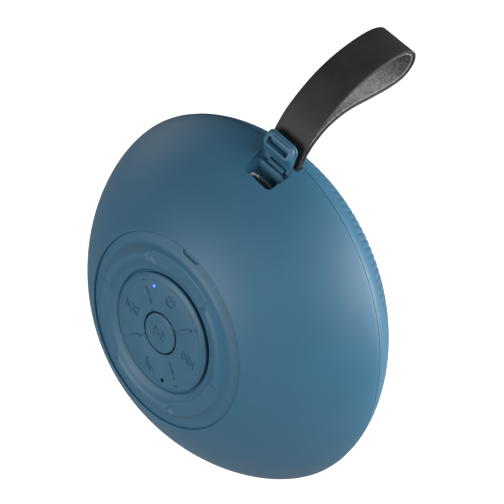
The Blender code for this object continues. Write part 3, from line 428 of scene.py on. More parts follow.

# %% [markdown]
# The socket is a pressed steel tube with round ends. Its mouth is flared a little, so that it shows
# as a bright line round the dark opening, and it stands just proud of the pocket's floor. The dark
# opening is painted shade: a black block fills the socket just below its mouth, round the black
# tongue, where the real socket is a deep hollow in shade.

# %% Socket shell
def stadium(half, side, count=20):
    """Points round a flat oval: two half circles of radius side, half apart from the middle."""
    angle = np.linspace(0.0, 2 * np.pi, 2 * count, endpoint=False) + np.pi / (2 * count)
    return np.stack([np.sign(np.cos(angle)) * (half - side) + side * np.cos(angle),
                     side * np.sin(angle)], axis=-1)


SOCKET_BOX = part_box("usb_shell")
socket_y = (SOCKET_BOX[0].y + SOCKET_BOX[1].y) / 2
socket_half = SOCKET_BOX[1].x
socket_side = (SOCKET_BOX[1].y - SOCKET_BOX[0].y) / 2
mouth_z = 46.25 * MM


def oval_stack(name, levels):
    """A solid from (half width, half height, depth) levels, each a flat oval."""
    layers = []
    for half, side, depth in levels:
        oval = stadium(half, side)
        layers.append(np.stack([oval[:, 0], socket_y + oval[:, 1],
                                np.full(len(oval), mouth_z + depth * MM)], axis=-1))
    return closed_mesh(name, np.array(layers), "cap")


SHELL_LEVELS = ((0.0, -6.8), (0.0, -0.12), (0.08, 0.0), (0.24, 0.0), (0.34, -0.14), (0.34, -6.6))
socket_shell = oval_stack("socket shell", [
    (socket_half - draw * MM, socket_side - draw * MM, depth) for draw, depth in SHELL_LEVELS])
inside_half, inside_side = socket_half - 0.34 * MM, socket_side - 0.34 * MM
# painted shade: this black block fills the socket's hollow just below the mouth, in place of the
# shade deep inside it
socket_shade_core = oval_stack("socket shade core", [(inside_half, inside_side, -0.7),
                                         (inside_half, inside_side, -6.5)])
socket_tongue = oval_stack("socket tongue", [(3.35 * MM, 0.35 * MM, -0.45),
                                             (3.35 * MM, 0.35 * MM, -6.0)])
print("socket shell", round(2 * socket_half / MM, 2), "x", round(2 * socket_side / MM, 2), "mm")

# %% [markdown]
# ## Bayonet ring
# A wall base twists on to this ring. Its raised bead is broken by three flats whose ends
# ramp up, so that the base's lugs ride down and lock. The section is one line of radius
# against height, and each flat lowers that line to zero between two smooth ramps. A
# Boolean would leave hard corners where the moulding has soft ones.

# %% The ring as a height over radius and turn
RING_OUTER = 28.42 * MM
RING_INNER = 17.7 * MM


def bead_height(radius):
    """A dished lip, a rounded bead and a slope down to the rim, through set heights."""
    radii = np.array([17.85, 18.15, 18.6, 19.2, 19.8, 20.3, 20.9, 21.5, 22.2, 22.9, 23.4, 23.9,
                      24.4, 25.0, 25.8, 26.8, 27.8, 28.42]) * MM
    levels = np.array([-1.05, -0.82, -0.68, -0.50, -0.25, 0.10, 0.55, 0.86, 0.95, 0.88, 0.62, 0.18,
                       -0.38, -0.98, -1.42, -1.62, -1.80, -1.92]) * MM
    fine = np.linspace(radii[0], radii[-1], 400)
    level = np.interp(fine, radii, levels)
    kernel = np.hanning(25)
    padded = np.concatenate([np.full(12, level[0]), level, np.full(12, level[-1])])
    level = np.convolve(padded, kernel / kernel.sum(), mode="valid")
    return np.interp(radius, fine, level)


def flat_level(radius, turn):
    """0 inside the nearest flat, rising along a round-ended ramp to above the bead."""
    third = 2 * np.pi / 3
    away = np.abs((turn + third / 2) % third - third / 2)
    away = away + math.radians(6) * ((radius - 22.4 * MM) / (2.4 * MM)) ** 2
    return 1.25 * MM * smoothstep(math.radians(28), math.radians(34.5), away)


def soft_minimum(first, second, blend):
    """The lower of two heights, with the corner between them rounded over blend."""
    mix = np.clip(0.5 + 0.5 * (second - first) / blend, 0.0, 1.0)
    return second * (1 - mix) + first * mix - blend * mix * (1 - mix)


def notch(radius, turn):
    """Depth of the pry notch in the rim beside the strap: a shallow step with round ends."""
    away = np.abs((turn + np.pi) % (2 * np.pi) - np.pi) * radius
    beyond = np.hypot(np.maximum(away - 1.6 * MM, 0.0), np.maximum(RING_OUTER - radius, 0.0))
    return 0.55 * MM * (1 - smoothstep(1.3 * MM, 1.55 * MM, beyond))


# %% Build the ring
turn = np.linspace(0.0, 2 * np.pi, 720, endpoint=False)[:, None]
share = np.linspace(0.0, 1.0, 60)[None, :]
rim = np.full_like(turn, RING_OUTER)
radius = RING_INNER + (RING_OUTER - RING_INNER) * share
top = soft_minimum(bead_height(radius), flat_level(radius, turn), 0.10 * MM)
top = np.where(radius > 25.4 * MM, bead_height(radius), top)
top = top - 0.35 * MM * (1 - smoothstep(0.0, 0.35 * MM, radius - RING_INNER))
top = top - 0.10 * MM * (1 - smoothstep(0.0, 0.2 * MM, RING_OUTER - radius)) - notch(radius, turn)
under = -3.3 * MM
ring_grid = np.concatenate([
    around(np.full_like(turn, RING_INNER - 2.2 * MM), turn, -1.5 * MM),
    around(np.full_like(turn, RING_INNER), turn, -1.5 * MM),
    around(radius, turn, top),
    around(rim, turn, under),
    around(np.full_like(turn, RING_INNER - 2.2 * MM), turn, under)], axis=1)
bayonet_ring = closed_mesh("bayonet ring", ring_grid)
paint(bayonet_ring, casing_blue)
stands_for(bayonet_ring, "casing", "blue_casing", "bayonet_ring")

# %% [markdown]
# ## Keypad
# The real keypad is one silicone sheet: pressing anywhere bends it. Here each key moves on
# its own, so the sheet is drawn as a rim, a hub and four spokes that stay still, with pads
# that meet them along hairlines. Raised bars sit on the spokes. Each pad's sides run beside
# its spokes rather than along radii, so its angle narrows towards the hub.

# %% Sizes of the keypad
PAD_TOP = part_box("keypad_frame")[1].y
PAD_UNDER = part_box("keypad_frame")[0].y
PAD_RADIUS = 17.35 * MM
PAD_RIM_INNER = 15.3 * MM
HUB_OUTER = 6.95 * MM
PLAY_RADIUS = 5.86 * MM
SPOKE_HALF = 0.5 * MM
HAIRLINE = 0.015 * MM
print("keypad top", round(PAD_TOP / MM, 3), "mm, under", round(PAD_UNDER / MM, 3), "mm")


def bar(name, angle, near, far, half, low, high, edge):
    """A raised bar along a radius, with round ends and a rounded top edge.

    Its outline is a stadium; each level of the section is that outline drawn in by the
    edge rounding.
    """
    turns = np.linspace(0.0, 2 * np.pi, 40, endpoint=False)
    levels = np.linspace(0.0, np.pi / 2, 5)
    pulls = np.concatenate([[0.0], edge * (1 - np.cos(levels)), [half * 0.6]])
    rises = np.concatenate([[low], high - edge + edge * np.sin(levels), [high]])
    reach = (far - near) / 2 - half
    along = np.sign(np.cos(turns)) * reach
    grid = []
    for pull, rise in zip(pulls, rises):
        grow = half - pull
        along_line = along + grow * np.cos(turns)
        across_line = grow * np.sin(turns)
        radius = np.hypot((near + far) / 2 + along_line, across_line)
        shift = np.arctan2(across_line, (near + far) / 2 + along_line)
        grid.append(around(radius, angle + shift, np.full_like(radius, rise)))
    return closed_mesh(name, np.array(grid), "cap")


# %% The part of the keypad that stays still
rim_section = rounded_path(
    [(PAD_RIM_INNER, PAD_TOP), (15.9 * MM, PAD_TOP), (PAD_RADIUS, PAD_TOP - 0.6 * MM),
     (PAD_RADIUS, PAD_UNDER), (PAD_RIM_INNER, PAD_UNDER)],
    [0.03 * MM, 0.5 * MM, 0.35 * MM, 0.1 * MM, 0.0])
hub_section = rounded_path(
    [(PLAY_RADIUS + 0.42 * MM, PAD_TOP), (HUB_OUTER, PAD_TOP), (HUB_OUTER, PAD_UNDER),
     (PLAY_RADIUS + 0.42 * MM, PAD_UNDER)], [0.22 * MM, 0.03 * MM, 0.0, 0.0])
web = [turned("rim", rim_section), turned("hub", hub_section)]
for corner in range(4):
    diagonal = math.radians(45 + 90 * corner)
    web.append(bar(f"spoke {corner}", diagonal, 6.6 * MM, 15.7 * MM, SPOKE_HALF, PAD_UNDER,
                   PAD_TOP, 0.01 * MM))
    web.append(bar(f"bar {corner}", diagonal, 8.5 * MM, 13.4 * MM, 0.47 * MM,
                   PAD_TOP - 0.2 * MM, PAD_TOP + 0.42 * MM, 0.12 * MM))
keypad_web = joined("keypad web", *web)
paint(keypad_web, silicone_blue)
stands_for(keypad_web, "casing", "blue_silicone", "keypad_frame")


# %% A key pad between two spokes
def pad(name, middle, hole=None):
    """A sector pad. Its angle reach at a radius is 45 degrees less asin(margin / radius)."""
    margin = SPOKE_HALF + HAIRLINE
    inner, outer = HUB_OUTER + HAIRLINE, PAD_RIM_INNER - HAIRLINE
    loop = rounded_path(
        [(inner, PAD_TOP), (outer, PAD_TOP), (outer, PAD_UNDER), (inner, PAD_UNDER)],
        [0.05 * MM, 0.05 * MM, 0.0, 0.0], 3)
    across = np.linspace(-1.0, 1.0, 49)[:, None]
    reach = math.pi / 4 - np.arcsin(margin / loop[None, :, 0])
    made = closed_mesh(name, around(loop[None, :, 0], middle + across * reach, loop[None, :, 1]),
                       "cap")
    if hole:
        hole_radius, hole_turn, hole_size = hole
        centre = Vector(around(hole_radius, hole_turn, 0.0))
        spin = np.linspace(0.0, 2 * np.pi, 28, endpoint=False)
        ring = np.stack([centre.x + hole_size * np.cos(spin), np.zeros(28),
                         centre.z + hole_size * np.sin(spin)], axis=-1)
        grid = np.stack([ring + [0, PAD_UNDER - MM, 0], ring + [0, PAD_TOP + MM, 0]])
        carve(made, closed_mesh(name + " hole", grid, "cap"))
    made.data.shade_smooth()
    made.data.set_sharp_from_angle(angle=math.radians(35))
    paint(made, silicone_blue)
    return made


LIGHT = (13.8 * MM, math.radians(29.6))
MICROPHONE = (14.3 * MM, math.radians(204.2))
pads = {
    "power": pad("power pad", 0.0, (*LIGHT, 0.62 * MM)),
    "next": pad("next pad", -math.pi / 2),
    "call": pad("call pad", math.pi, (*MICROPHONE, 0.62 * MM)),
    "previous": pad("previous pad", math.pi / 2),
}
for key, piece in pads.items():
    stands_for(piece, f"{key}_key", "blue_silicone", f"key_{key}")

# %% [markdown]
# The centre key is a low dome with a rolled edge, set in a groove of its own.

# %% The centre key
dome = np.linspace(0.0, PLAY_RADIUS - 0.45 * MM, 16)
crown = PAD_TOP + 0.42 * MM - 0.30 * MM * (dome / PLAY_RADIUS) ** 2
rolled = np.linspace(0.0, np.pi / 2, 8)
edge_r = PLAY_RADIUS - 0.45 * MM + 0.45 * MM * np.sin(rolled)
edge_h = crown[-1] - 0.45 * MM * (1 - np.cos(rolled))
play_section = np.concatenate([
    np.stack([dome, crown], axis=-1), np.stack([edge_r, edge_h], axis=-1)[1:],
    [[PLAY_RADIUS, PAD_UNDER], [0.0, PAD_UNDER]]])
play_pad = turned("play pad", play_section, 96)
paint(play_pad, silicone_blue)
stands_for(play_pad, "play_key", "blue_silicone", "key_play")

# %% [markdown]
# ## Key symbols
# The symbols are lines moulded into the silicone, in its own colour, so they show only by
# their edges. They are drawn as flat outlines and given a low height, since a painted
# symbol would look printed. All of them are the usual generic player signs.

# %% Symbols from outlines
LINE = 0.30 * MM


def stroke(name, points, closed=False, half=LINE / 2, rise=0.24 * MM, level=PAD_TOP):
    """A line of even width through 2-D points (right, up), raised from the keypad.

    Each point moves sideways by half the width along the mitre of its two neighbours.
    """
    points = np.array(points, float)
    if closed:
        before, after = np.roll(points, 1, axis=0), np.roll(points, -1, axis=0)
    else:
        before = np.vstack([points[:1] - (points[1:2] - points[:1]), points[:-1]])
        after = np.vstack([points[1:], points[-1:] + (points[-1:] - points[-2:-1])])
    first = points - before
    second = after - points
    first /= np.linalg.norm(first, axis=1)[:, None]
    second /= np.linalg.norm(second, axis=1)[:, None]
    normal = np.stack([-(first + second)[:, 1], (first + second)[:, 0]], axis=-1)
    normal /= np.linalg.norm(normal, axis=1)[:, None]
    facing = np.maximum(0.4, (normal * np.stack([-first[:, 1], first[:, 0]], axis=-1)).sum(axis=1))
    side = normal * (half / facing)[:, None]
    top_side = side * 0.72
    low, high = level - 0.2 * MM, level + rise
    loops = [(points - side, low), (points - side, high - 0.05 * MM), (points - top_side, high),
             (points + top_side, high), (points + side, high - 0.05 * MM), (points + side, low)]
    grid = np.stack([np.stack([-flat[:, 0], np.full(len(flat), height), flat[:, 1]], axis=-1)
                     for flat, height in loops], axis=1)
    return closed_mesh(name, grid, "join" if closed else "cap")


def arc_points(centre, size, start, end, count):
    """Points on a circle between two angles in degrees, counted from right, anticlockwise."""
    angle = np.radians(np.linspace(start, end, count))
    return np.stack([centre[0] + size * np.cos(angle), centre[1] + size * np.sin(angle)], axis=-1)


def triangle(centre, width, height):
    """Corners of a triangle that points right for a positive width."""
    x, y = centre
    return [(x - width / 2, y + height / 2), (x - width / 2, y - height / 2), (x + width / 2, y)]


SIGN_ORBIT = 11.7 * MM
power_sign = joined(
    "power sign",
    stroke("power ring", arc_points((0.0, SIGN_ORBIT), 1.55 * MM, 125, 415, 40)),
    stroke("power line", [(0.0, SIGN_ORBIT + 0.1 * MM), (0.0, SIGN_ORBIT + 1.9 * MM)]))
handset = rounded_path([(x * MM, -SIGN_ORBIT + y * MM) for x, y in (
    (-1.75, 1.05), (-1.15, 1.75), (-0.55, 0.95), (-0.85, 0.45), (0.45, -0.85), (0.95, -0.55),
    (1.75, -1.15), (1.05, -1.75), (-0.35, -1.25), (-1.25, -0.35))], [0.3 * MM] * 10, 4)
call_sign = joined("call sign", stroke("handset", handset, True, LINE * 0.42))
signs = {"power": power_sign, "call": call_sign}
for key, direction in (("next", 1), ("previous", -1)):
    x = direction * SIGN_ORBIT
    first = triangle((x - direction * 1.45 * MM, 0), direction * 2.1 * MM, 2.7 * MM)
    second = triangle((x + direction * 0.85 * MM, 0), direction * 2.1 * MM, 2.7 * MM)
    stop = x + direction * 2.35 * MM
    signs[key] = joined(
        f"{key} sign",
        stroke(f"{key} first", first, True),
        stroke(f"{key} second", second, True),
        stroke(f"{key} stop", [(stop, -1.4 * MM), (stop, 1.4 * MM)]))
crown_top = PAD_TOP + 0.38 * MM
signs["play"] = joined(
    "play sign",
    stroke("play arrow", triangle((-0.75 * MM, 0), 2.3 * MM, 2.9 * MM), True, level=crown_top),
    stroke("pause left", [(1.05 * MM, -1.45 * MM), (1.05 * MM, 1.45 * MM)], level=crown_top),
    stroke("pause right", [(1.95 * MM, -1.45 * MM), (1.95 * MM, 1.45 * MM)], level=crown_top))
for key, piece in signs.items():
    paint(piece, silicone_blue)
    stands_for(piece, f"{key}_key", "blue_silicone")

# %% [markdown]
# ## Status light
# A small clear lens over a blue diode. The lens glows, and its middle is brighter and paler,
# so the colour goes by the distance from the lens's centre.

# %% The light
lens_centre = Vector(around(LIGHT[0], LIGHT[1], 0.0))
lamp_blue = Finish("lit blue lens", Base_Color=(0.05, 0.12, 0.9, 1.0), Roughness=0.25,
                   Emission_Strength=3.0)
off_centre = lamp_blue.node("ShaderNodeVectorMath", {"operation": 'DISTANCE'},
                            {0: lamp_blue.place, 1: (lens_centre.x, PAD_TOP, lens_centre.z)}, 1)
lamp_blue.feed(Emission_Color=lamp_blue.mixed(off_centre.step(0.12 * MM, 0.42 * MM),
                                              (0.16, 0.36, 1.0, 1.0), (0.012, 0.05, 0.75, 1.0)))
lens_turn = np.linspace(0.0, 2 * np.pi, 32, endpoint=False)
lens_rise = np.linspace(0.0, np.pi / 2, 7)
lens_radius = np.concatenate([[0.5 * MM], 0.5 * MM * np.cos(lens_rise)])
lens_height = np.concatenate([[PAD_TOP - 4.5 * MM],
                              PAD_TOP - 0.02 * MM + 0.16 * MM * np.sin(lens_rise)])
lens_grid = np.stack([lens_centre.x + lens_radius[:, None] * np.cos(lens_turn),
                      np.repeat(lens_height[:, None], 32, axis=1),
                      lens_centre.z + lens_radius[:, None] * np.sin(lens_turn)], axis=-1)
lens = closed_mesh("status lens", lens_grid, "cap")
paint(lens, lamp_blue)
stands_for(lens, "casing", "blue_lamp", "status_light")

# %% [markdown]
# ## Front cover
# The front cover starts as a smooth band at the seam. Past the widest part it carries rows
# of fine radial grooves. Hundreds of Boolean cuts would be slow and give ragged edges, so
# the cover's surface is lowered by a groove wave round the axis, masked to its rows.

# %% The cover's outline
GRILLE_WALL = 1.6 * MM
FLAT_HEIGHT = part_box("front_grille")[0].y
FLAT_RADIUS = 12.0 * MM
FRONT_DEPTH = 29.7 * MM
EDGE_DROP = 11.5 * MM


def front_outline(count):
    """A super-ellipse from the seam, then a cubic curve into the flat middle."""
    drop = np.linspace(0.0, EDGE_DROP, count)
    side = np.stack([BODY_RADIUS * np.sqrt(1 - (drop / FRONT_DEPTH) ** 1.52), SEAM_HEIGHT - drop],
                    axis=-1)
    slope = (side[-2, 0] - side[-1, 0]) / (side[-2, 1] - side[-1, 1])
    edge = side[-1]
    depth = edge[1] - FLAT_HEIGHT
    reach = edge[0] - FLAT_RADIUS
    controls = np.array([edge, [edge[0] - slope * depth * 0.75, edge[1] - depth * 0.75],
                         [edge[0] - reach * 0.45, FLAT_HEIGHT], [FLAT_RADIUS, FLAT_HEIGHT]])
    t = np.linspace(0.0, 1.0, 3 * count)[1:, None]
    curve = ((1 - t) ** 3 * controls[0] + 3 * t * (1 - t) ** 2 * controls[1]
             + 3 * t * t * (1 - t) * controls[2] + t ** 3 * controls[3])
    return np.concatenate([side, curve])


outline = front_outline(16)
travel = np.concatenate([[0.0], np.cumsum(np.linalg.norm(np.diff(outline, axis=0), axis=1))])
print("front outline length", round(travel[-1] / MM, 1), "mm")

# %% Rows of grooves
ROWS = ((4.2 * MM, 19.0 * MM, 150), (20.6 * MM, 31.0 * MM, 100), (32.6 * MM, 40.5 * MM, 75))
GROOVE_DEPTH = 0.16 * MM
ends = np.concatenate([[start, stop] for start, stop, _ in ROWS])
ramps = (ends[:, None] + np.linspace(-0.1, 0.55, 4)[None, :] * MM
         * np.where(np.arange(len(ends)) % 2, -1, 1)[:, None]).ravel()
samples = np.unique(np.concatenate([np.linspace(0.25 * MM, travel[-1], 34), ramps]))
line = np.stack([np.interp(samples, travel, outline[:, 0]),
                 np.interp(samples, travel, outline[:, 1])], axis=-1)
inward = offset(line, 1.0) - line
turn = np.linspace(0.0, 2 * np.pi, 1200, endpoint=False)[:, None]


def groove(turn, distance):
    """Depth share: for each row, a clipped cosine round the axis times the row's soft ends."""
    total = np.zeros(np.broadcast(turn, distance).shape)
    for start, stop, count in ROWS:
        wave = smoothstep(0.55, 0.80, 0.5 - 0.5 * np.cos(count * turn))
        inside = (smoothstep(start, start + 0.5 * MM, distance)
                  * (1 - smoothstep(stop - 0.5 * MM, stop, distance)))
        total += wave * inside
    return total


# %% Build the front cover
depth_share = groove(turn, samples[None, :])
top_line = line[None, :, :] + inward[None, :, :] * (depth_share * GROOVE_DEPTH)[:, :, None]
band_roll = np.array([[BODY_RADIUS - 0.16 * MM, SEAM_HEIGHT - 0.03 * MM],
                      [BODY_RADIUS - 0.05 * MM, SEAM_HEIGHT - 0.10 * MM]])
inner_line = (line + inward * GRILLE_WALL)[::6][::-1]
inner_line[-1] = [inner_line[-1, 0], SEAM_HEIGHT - 0.03 * MM]
middle = np.array([[0.0, FLAT_HEIGHT], [0.0, FLAT_HEIGHT + GRILLE_WALL]])
around_grid = np.concatenate([
    around(band_roll[None, :, 0], turn, band_roll[None, :, 1]),
    around(top_line[:, :, 0], turn, top_line[:, :, 1]),
    around(middle[None, :, 0], turn, middle[None, :, 1]),
    around(inner_line[None, :, 0], turn, inner_line[None, :, 1]),
], axis=1)
cover = closed_mesh("front cover", around_grid)
paint(cover, casing_blue)
stands_for(cover, "casing", "blue_casing", "front_grille")

# %% [markdown]
# ## Strap
# The wrist strap is two layers: black leather outside with a fine grain and a grey felt
# lining inside, sewn flat, with the cut edges painted black. Cloth simulation would let it
# sag, but a strap this stiff keeps the loop it was folded to. So its path is drawn as a
# smooth closed curve in the plane of the axis, and each layer is that path swept with a
# flat section, drawn in at the edges.

# %% The strap's path
STRAP_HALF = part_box("strap_loop")[1].x
strap_points = np.array([
    (55.2, -26.45), (56.6, -26.45), (60.0, -27.0), (64.8, -28.6), (69.8, -31.6), (74.8, -35.8),
    (79.0, -41.4), (82.2, -48.2), (83.6, -55.0), (82.0, -60.0), (78.0, -61.5), (74.0, -59.4),
    (71.8, -54.5), (70.4, -47.5), (68.9, -39.6), (65.8, -33.7), (61.5, -30.3), (57.6, -28.75),
    (55.0, -28.28)]) * MM


def smooth_curve(points, per_span):
    """Catmull-Rom: each span is a cubic whose ends lean along their neighbours' chord."""
    padded = np.concatenate([2 * points[:1] - points[1:2], points, 2 * points[-1:] - points[-2:-1]])
    a, b, c, d = padded[:-3, None], padded[1:-2, None], padded[2:-1, None], padded[3:, None]
    t = np.linspace(0.0, 1.0, per_span, endpoint=False)[None, :, None]
    curve = 0.5 * (2 * b + (c - a) * t + (2 * a - 5 * b + 4 * c - d) * t ** 2
                   + (3 * b - a - 3 * c + d) * t ** 3)
    return np.concatenate([curve.reshape(-1, points.shape[1]), points[-1:]])


def strap_layer(name, low, high, half, soften):
    """Sweep a flat section along the path: low and high are depths inside the outer face."""
    along = np.gradient(strap_path, axis=0)
    along /= np.linalg.norm(along, axis=1)[:, None]
    inside = np.stack([along[:, 1], -along[:, 0]], axis=-1)
    section = rounded_path([(-half, low), (half, low), (half, high), (-half, high)],
                           [soften] * 4, 4)
    sides = np.linspace(-1, 1, 9)[1:-1] * (half - soften)
    flat_low = np.stack([sides, np.full(7, low)], axis=-1)
    cut = len(section) // 4
    section = np.concatenate([section[:cut], flat_low, section[cut:]])
    position = strap_path[:, None, :] + inside[:, None, :] * section[None, :, 1, None]
    grid = np.stack([np.broadcast_to(section[None, :, 0], position.shape[:2]),
                     position[:, :, 1], position[:, :, 0]], axis=-1)
    return closed_mesh(name, grid, "cap")


strap_path = smooth_curve(strap_points, 12)
leather_layer = strap_layer("strap leather", 0.0, 0.85 * MM, STRAP_HALF, 0.25 * MM)
felt_layer = strap_layer("strap felt lining", 0.86 * MM, 1.42 * MM, STRAP_HALF - 0.35 * MM,
                         0.2 * MM)
root_span = np.linspace(53.7 * MM, 56.0 * MM, 14)
root_section = rounded_path([(-STRAP_HALF, -28.28 * MM), (STRAP_HALF, -28.28 * MM),
                             (STRAP_HALF, -26.42 * MM), (-STRAP_HALF, -26.42 * MM)],
                            [0.3 * MM] * 4, 5)
root_grid = np.stack([np.broadcast_to(root_section[None, :, 0], (14, len(root_section))),
                      np.broadcast_to(root_section[None, :, 1], (14, len(root_section))),
                      np.broadcast_to(root_span[:, None], (14, len(root_section)))], axis=-1)
root_fold = closed_mesh("strap root", root_grid, "cap")

# %% [markdown]
# Leather grain is small raised cells with creases between them: the distance to the nearest
# of many scattered points gives the cells. Felt is tangled fibre, so its noise is drawn out
# long in two directions and mixed from light and dark grey threads.

# %% Leather and felt
leather = Finish("black grained leather", IOR=1.5, Coat_Weight=0.06, Coat_Roughness=0.45)
cells = leather.node("ShaderNodeTexVoronoi", {"feature": 'F1'},
                     {"Vector": leather.place, "Scale": 1 / (0.34 * MM)})
pores = leather.noise(0.12 * MM, 2.0)
patches = leather.noise(9 * MM, 3.0)
leather.feed(Base_Color=leather.mixed(patches.step(0.3, 0.7) * 0.6 + cells * 0.4,
                                      (0.0075, 0.0075, 0.0080, 1), (0.016, 0.0155, 0.015, 1)),
             Roughness=0.54 + cells * 0.12 + patches * 0.10)
leather.bump((cells, 0.05 * MM, 0.5), (pores, 0.02 * MM, 0.35))

felt = Finish("grey melange felt", Sheen_Weight=0.5, Sheen_Roughness=0.6, Roughness=0.95)
stretch_a = felt.node("ShaderNodeMapping", None,
                      {"Vector": felt.place, "Scale": (3.2, 0.7, 0.7), "Rotation": (0.3, 0.2, 0.6)})
stretch_b = felt.node("ShaderNodeMapping", None,
                      {"Vector": felt.place, "Scale": (0.6, 2.6, 2.6), "Rotation": (0.9, 0.4, 0.1)})
thread_a = felt.noise(0.85 * MM, 4.0, 0.65, stretch_a)
thread_b = felt.noise(0.80 * MM, 4.0, 0.65, stretch_b)
threads = thread_a * 0.5 + thread_b * 0.5
felt.feed(Base_Color=felt.mixed(threads.step(0.40, 0.62), (0.030, 0.030, 0.032, 1),
                                (0.20, 0.20, 0.205, 1)))
felt.bump((threads, 0.25 * MM, 0.8))

paint(leather_layer, leather)
paint(felt_layer, felt)
paint(root_fold, leather)
stands_for(leather_layer, "strap_loop", "black_leather", "strap_loop")
stands_for(felt_layer, "strap_loop", "black_leather")
stands_for(root_fold, "strap_loop", "black_leather")

# %% [markdown]
# ## Port plug
# The plug is one silicone block on a flat neck, drawn open, as it hangs on that neck. Its face
# has a deep hollow that grips the socket, and a slit near the tip for a fingernail. The recess
# is deeper beside the strap than beside the panel, so the block is a wedge: its face slopes
# towards the tip. Each level of the block is a rounded outline, drawn in where edges roll.

# %% The plug in its open place
NECK_AT = Vector((0.0, -25.0 * MM, 52.9 * MM))
FACE_SLOPE = 0.374


def levelled(name, levels):
    """A solid from (half width, near, far, corner, height) levels: rounded outlines, stacked.

    Above the lid, a level tips by the slope: its height drops as the point nears the tip.
    """
    layers = []
    for half, near, far, corner, height in np.array(levels) * MM:
        outline = rounded_path([(-half, near), (half, near), (half, far), (-half, far)],
                               [corner * 0.85, corner * 0.85, corner, corner], 9)
        tipped = float(np.clip((height - 0.8 * MM) / (0.8 * MM), 0.0, 1.0))
        heights = height - FACE_SLOPE * tipped * (outline[:, 1] - 5.4 * MM)
        layers.append(np.stack([outline[:, 0], heights, outline[:, 1]], axis=-1))
    return closed_mesh(name, np.array(layers), "cap")


block = levelled("silicone plug", [
    (5.15, 0.25, 7.50, 2.2, 0.25), (5.32, 0.12, 7.66, 2.3, 0.35), (5.40, 0.05, 7.74, 2.35, 0.55),
    (5.40, 0.05, 7.74, 2.35, 0.80), (5.10, 1.40, 7.62, 2.3, 1.00), (5.00, 2.55, 7.55, 2.25, 1.30),
    (4.98, 3.25, 7.52, 2.2, 1.70), (4.97, 3.45, 7.50, 2.2, 2.10), (4.92, 3.58, 7.44, 2.1, 2.32),
    (4.80, 3.72, 7.32, 2.0, 2.42)])
carve(block, rounded_block("socket hollow", (-3.8 * MM, 1.0 * MM, 4.2 * MM),
                           (3.9 * MM, 5.0 * MM, 6.2 * MM), 0.2 * MM, 1))
carve(block, rounded_block("lifting slit", (-3.2 * MM, 1.45 * MM, 6.80 * MM),
                           (3.0 * MM, 5.0 * MM, 7.05 * MM), 0.1 * MM, 1))
block.data.transform(Matrix.Translation(NECK_AT))
block.data.shade_smooth()
block.data.set_sharp_from_angle(angle=math.radians(40))
paint(block, silicone_blue)
stands_for(block, "port_plug", "blue_silicone", "port_plug")

# %% [markdown]
# ## Finishes for the working parts
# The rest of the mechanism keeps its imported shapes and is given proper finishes: bright
# drawn steel for the socket and screws, green solder mask for the boards, and so on. Each
# finish still varies, because even a hidden part is seen when the speaker is taken apart.

# %% Metals, plastics and boards
steel = Finish("drawn steel", Base_Color=(0.58, 0.58, 0.60, 1), Metallic=1.0)
drawn = steel.noise(0.5 * MM, 3.0, 0.6, steel.node("ShaderNodeMapping", None,
                                                   {"Vector": steel.place, "Scale": (1, 1, 14)}))
steel.feed(Roughness=0.24 + drawn * 0.18)
steel.bump((drawn, 0.01 * MM, 0.3))

black_plastic = Finish("matt black plastic", IOR=1.5)
pitting = black_plastic.noise(0.2 * MM, 3.0)
black_plastic.feed(Base_Color=black_plastic.mixed(pitting, (0.010, 0.010, 0.011, 1),
                                                  (0.022, 0.022, 0.023, 1)),
                   Roughness=0.42 + pitting * 0.2)
black_plastic.bump((pitting, 0.02 * MM, 0.4))

board = Finish("green solder mask", Coat_Weight=0.4, Coat_Roughness=0.2)
tracks = board.node("ShaderNodeTexBrick", {"offset": 0.5},
                    {"Vector": board.place, "Scale": 260.0, "Mortar Size": 0.05,
                     "Color1": (0.010, 0.090, 0.040, 1), "Color2": (0.008, 0.070, 0.032, 1),
                     "Mortar": (0.020, 0.150, 0.070, 1)})
board.feed(Base_Color=tracks, Roughness=0.3 + board.noise(2 * MM) * 0.2)

foil = Finish("cell foil", Metallic=0.7)
crinkle = foil.noise(3 * MM, 5.0, 0.6)
foil.feed(Base_Color=foil.mixed(crinkle, (0.40, 0.42, 0.44, 1), (0.56, 0.58, 0.60, 1)),
          Roughness=0.28 + crinkle * 0.2)
foil.bump((crinkle, 0.1 * MM, 0.4))

foam = Finish("open foam", Roughness=0.95)
bubbles = foam.node("ShaderNodeTexVoronoi", None, {"Vector": foam.place, "Scale": 1 / (0.6 * MM)})
foam.feed(Base_Color=foam.mixed(bubbles, (0.012, 0.012, 0.013, 1), (0.075, 0.075, 0.080, 1)))
foam.bump((bubbles, 0.2 * MM, 0.7))

copper = Finish("enamelled copper wire", Metallic=1.0)
winding = copper.node("ShaderNodeTexWave", {"bands_direction": 'Y'},
                      {"Vector": copper.place, "Scale": 900.0, "Distortion": 0.2})
copper.feed(Base_Color=copper.mixed(winding, (0.30, 0.10, 0.04, 1), (0.68, 0.30, 0.14, 1)),
            Roughness=0.3 + winding * 0.1)
copper.bump((winding, 0.05 * MM, 0.5))


def mottled(name, spot, detail, dark, light, rough, bump=0.0):
    """A finish of two close colours in spots, with a bump as deep as given in metres."""
    made = Finish(name, Roughness=rough)
    spots = made.noise(spot, detail, 0.7)
    made.feed(Base_Color=made.mixed(spots, (*dark, 1), (*light, 1)))
    if bump:
        made.bump((spots, bump, 0.5))
    return made


ferrite = mottled("sintered ferrite", 0.3 * MM, 4.0, (0.020, 0.020, 0.022),
                  (0.050, 0.050, 0.053), 0.7, 0.04 * MM)
paper = mottled("pressed paper cone", 0.7 * MM, 5.0, (0.012, 0.012, 0.013),
                (0.034, 0.033, 0.032), 0.88, 0.06 * MM)

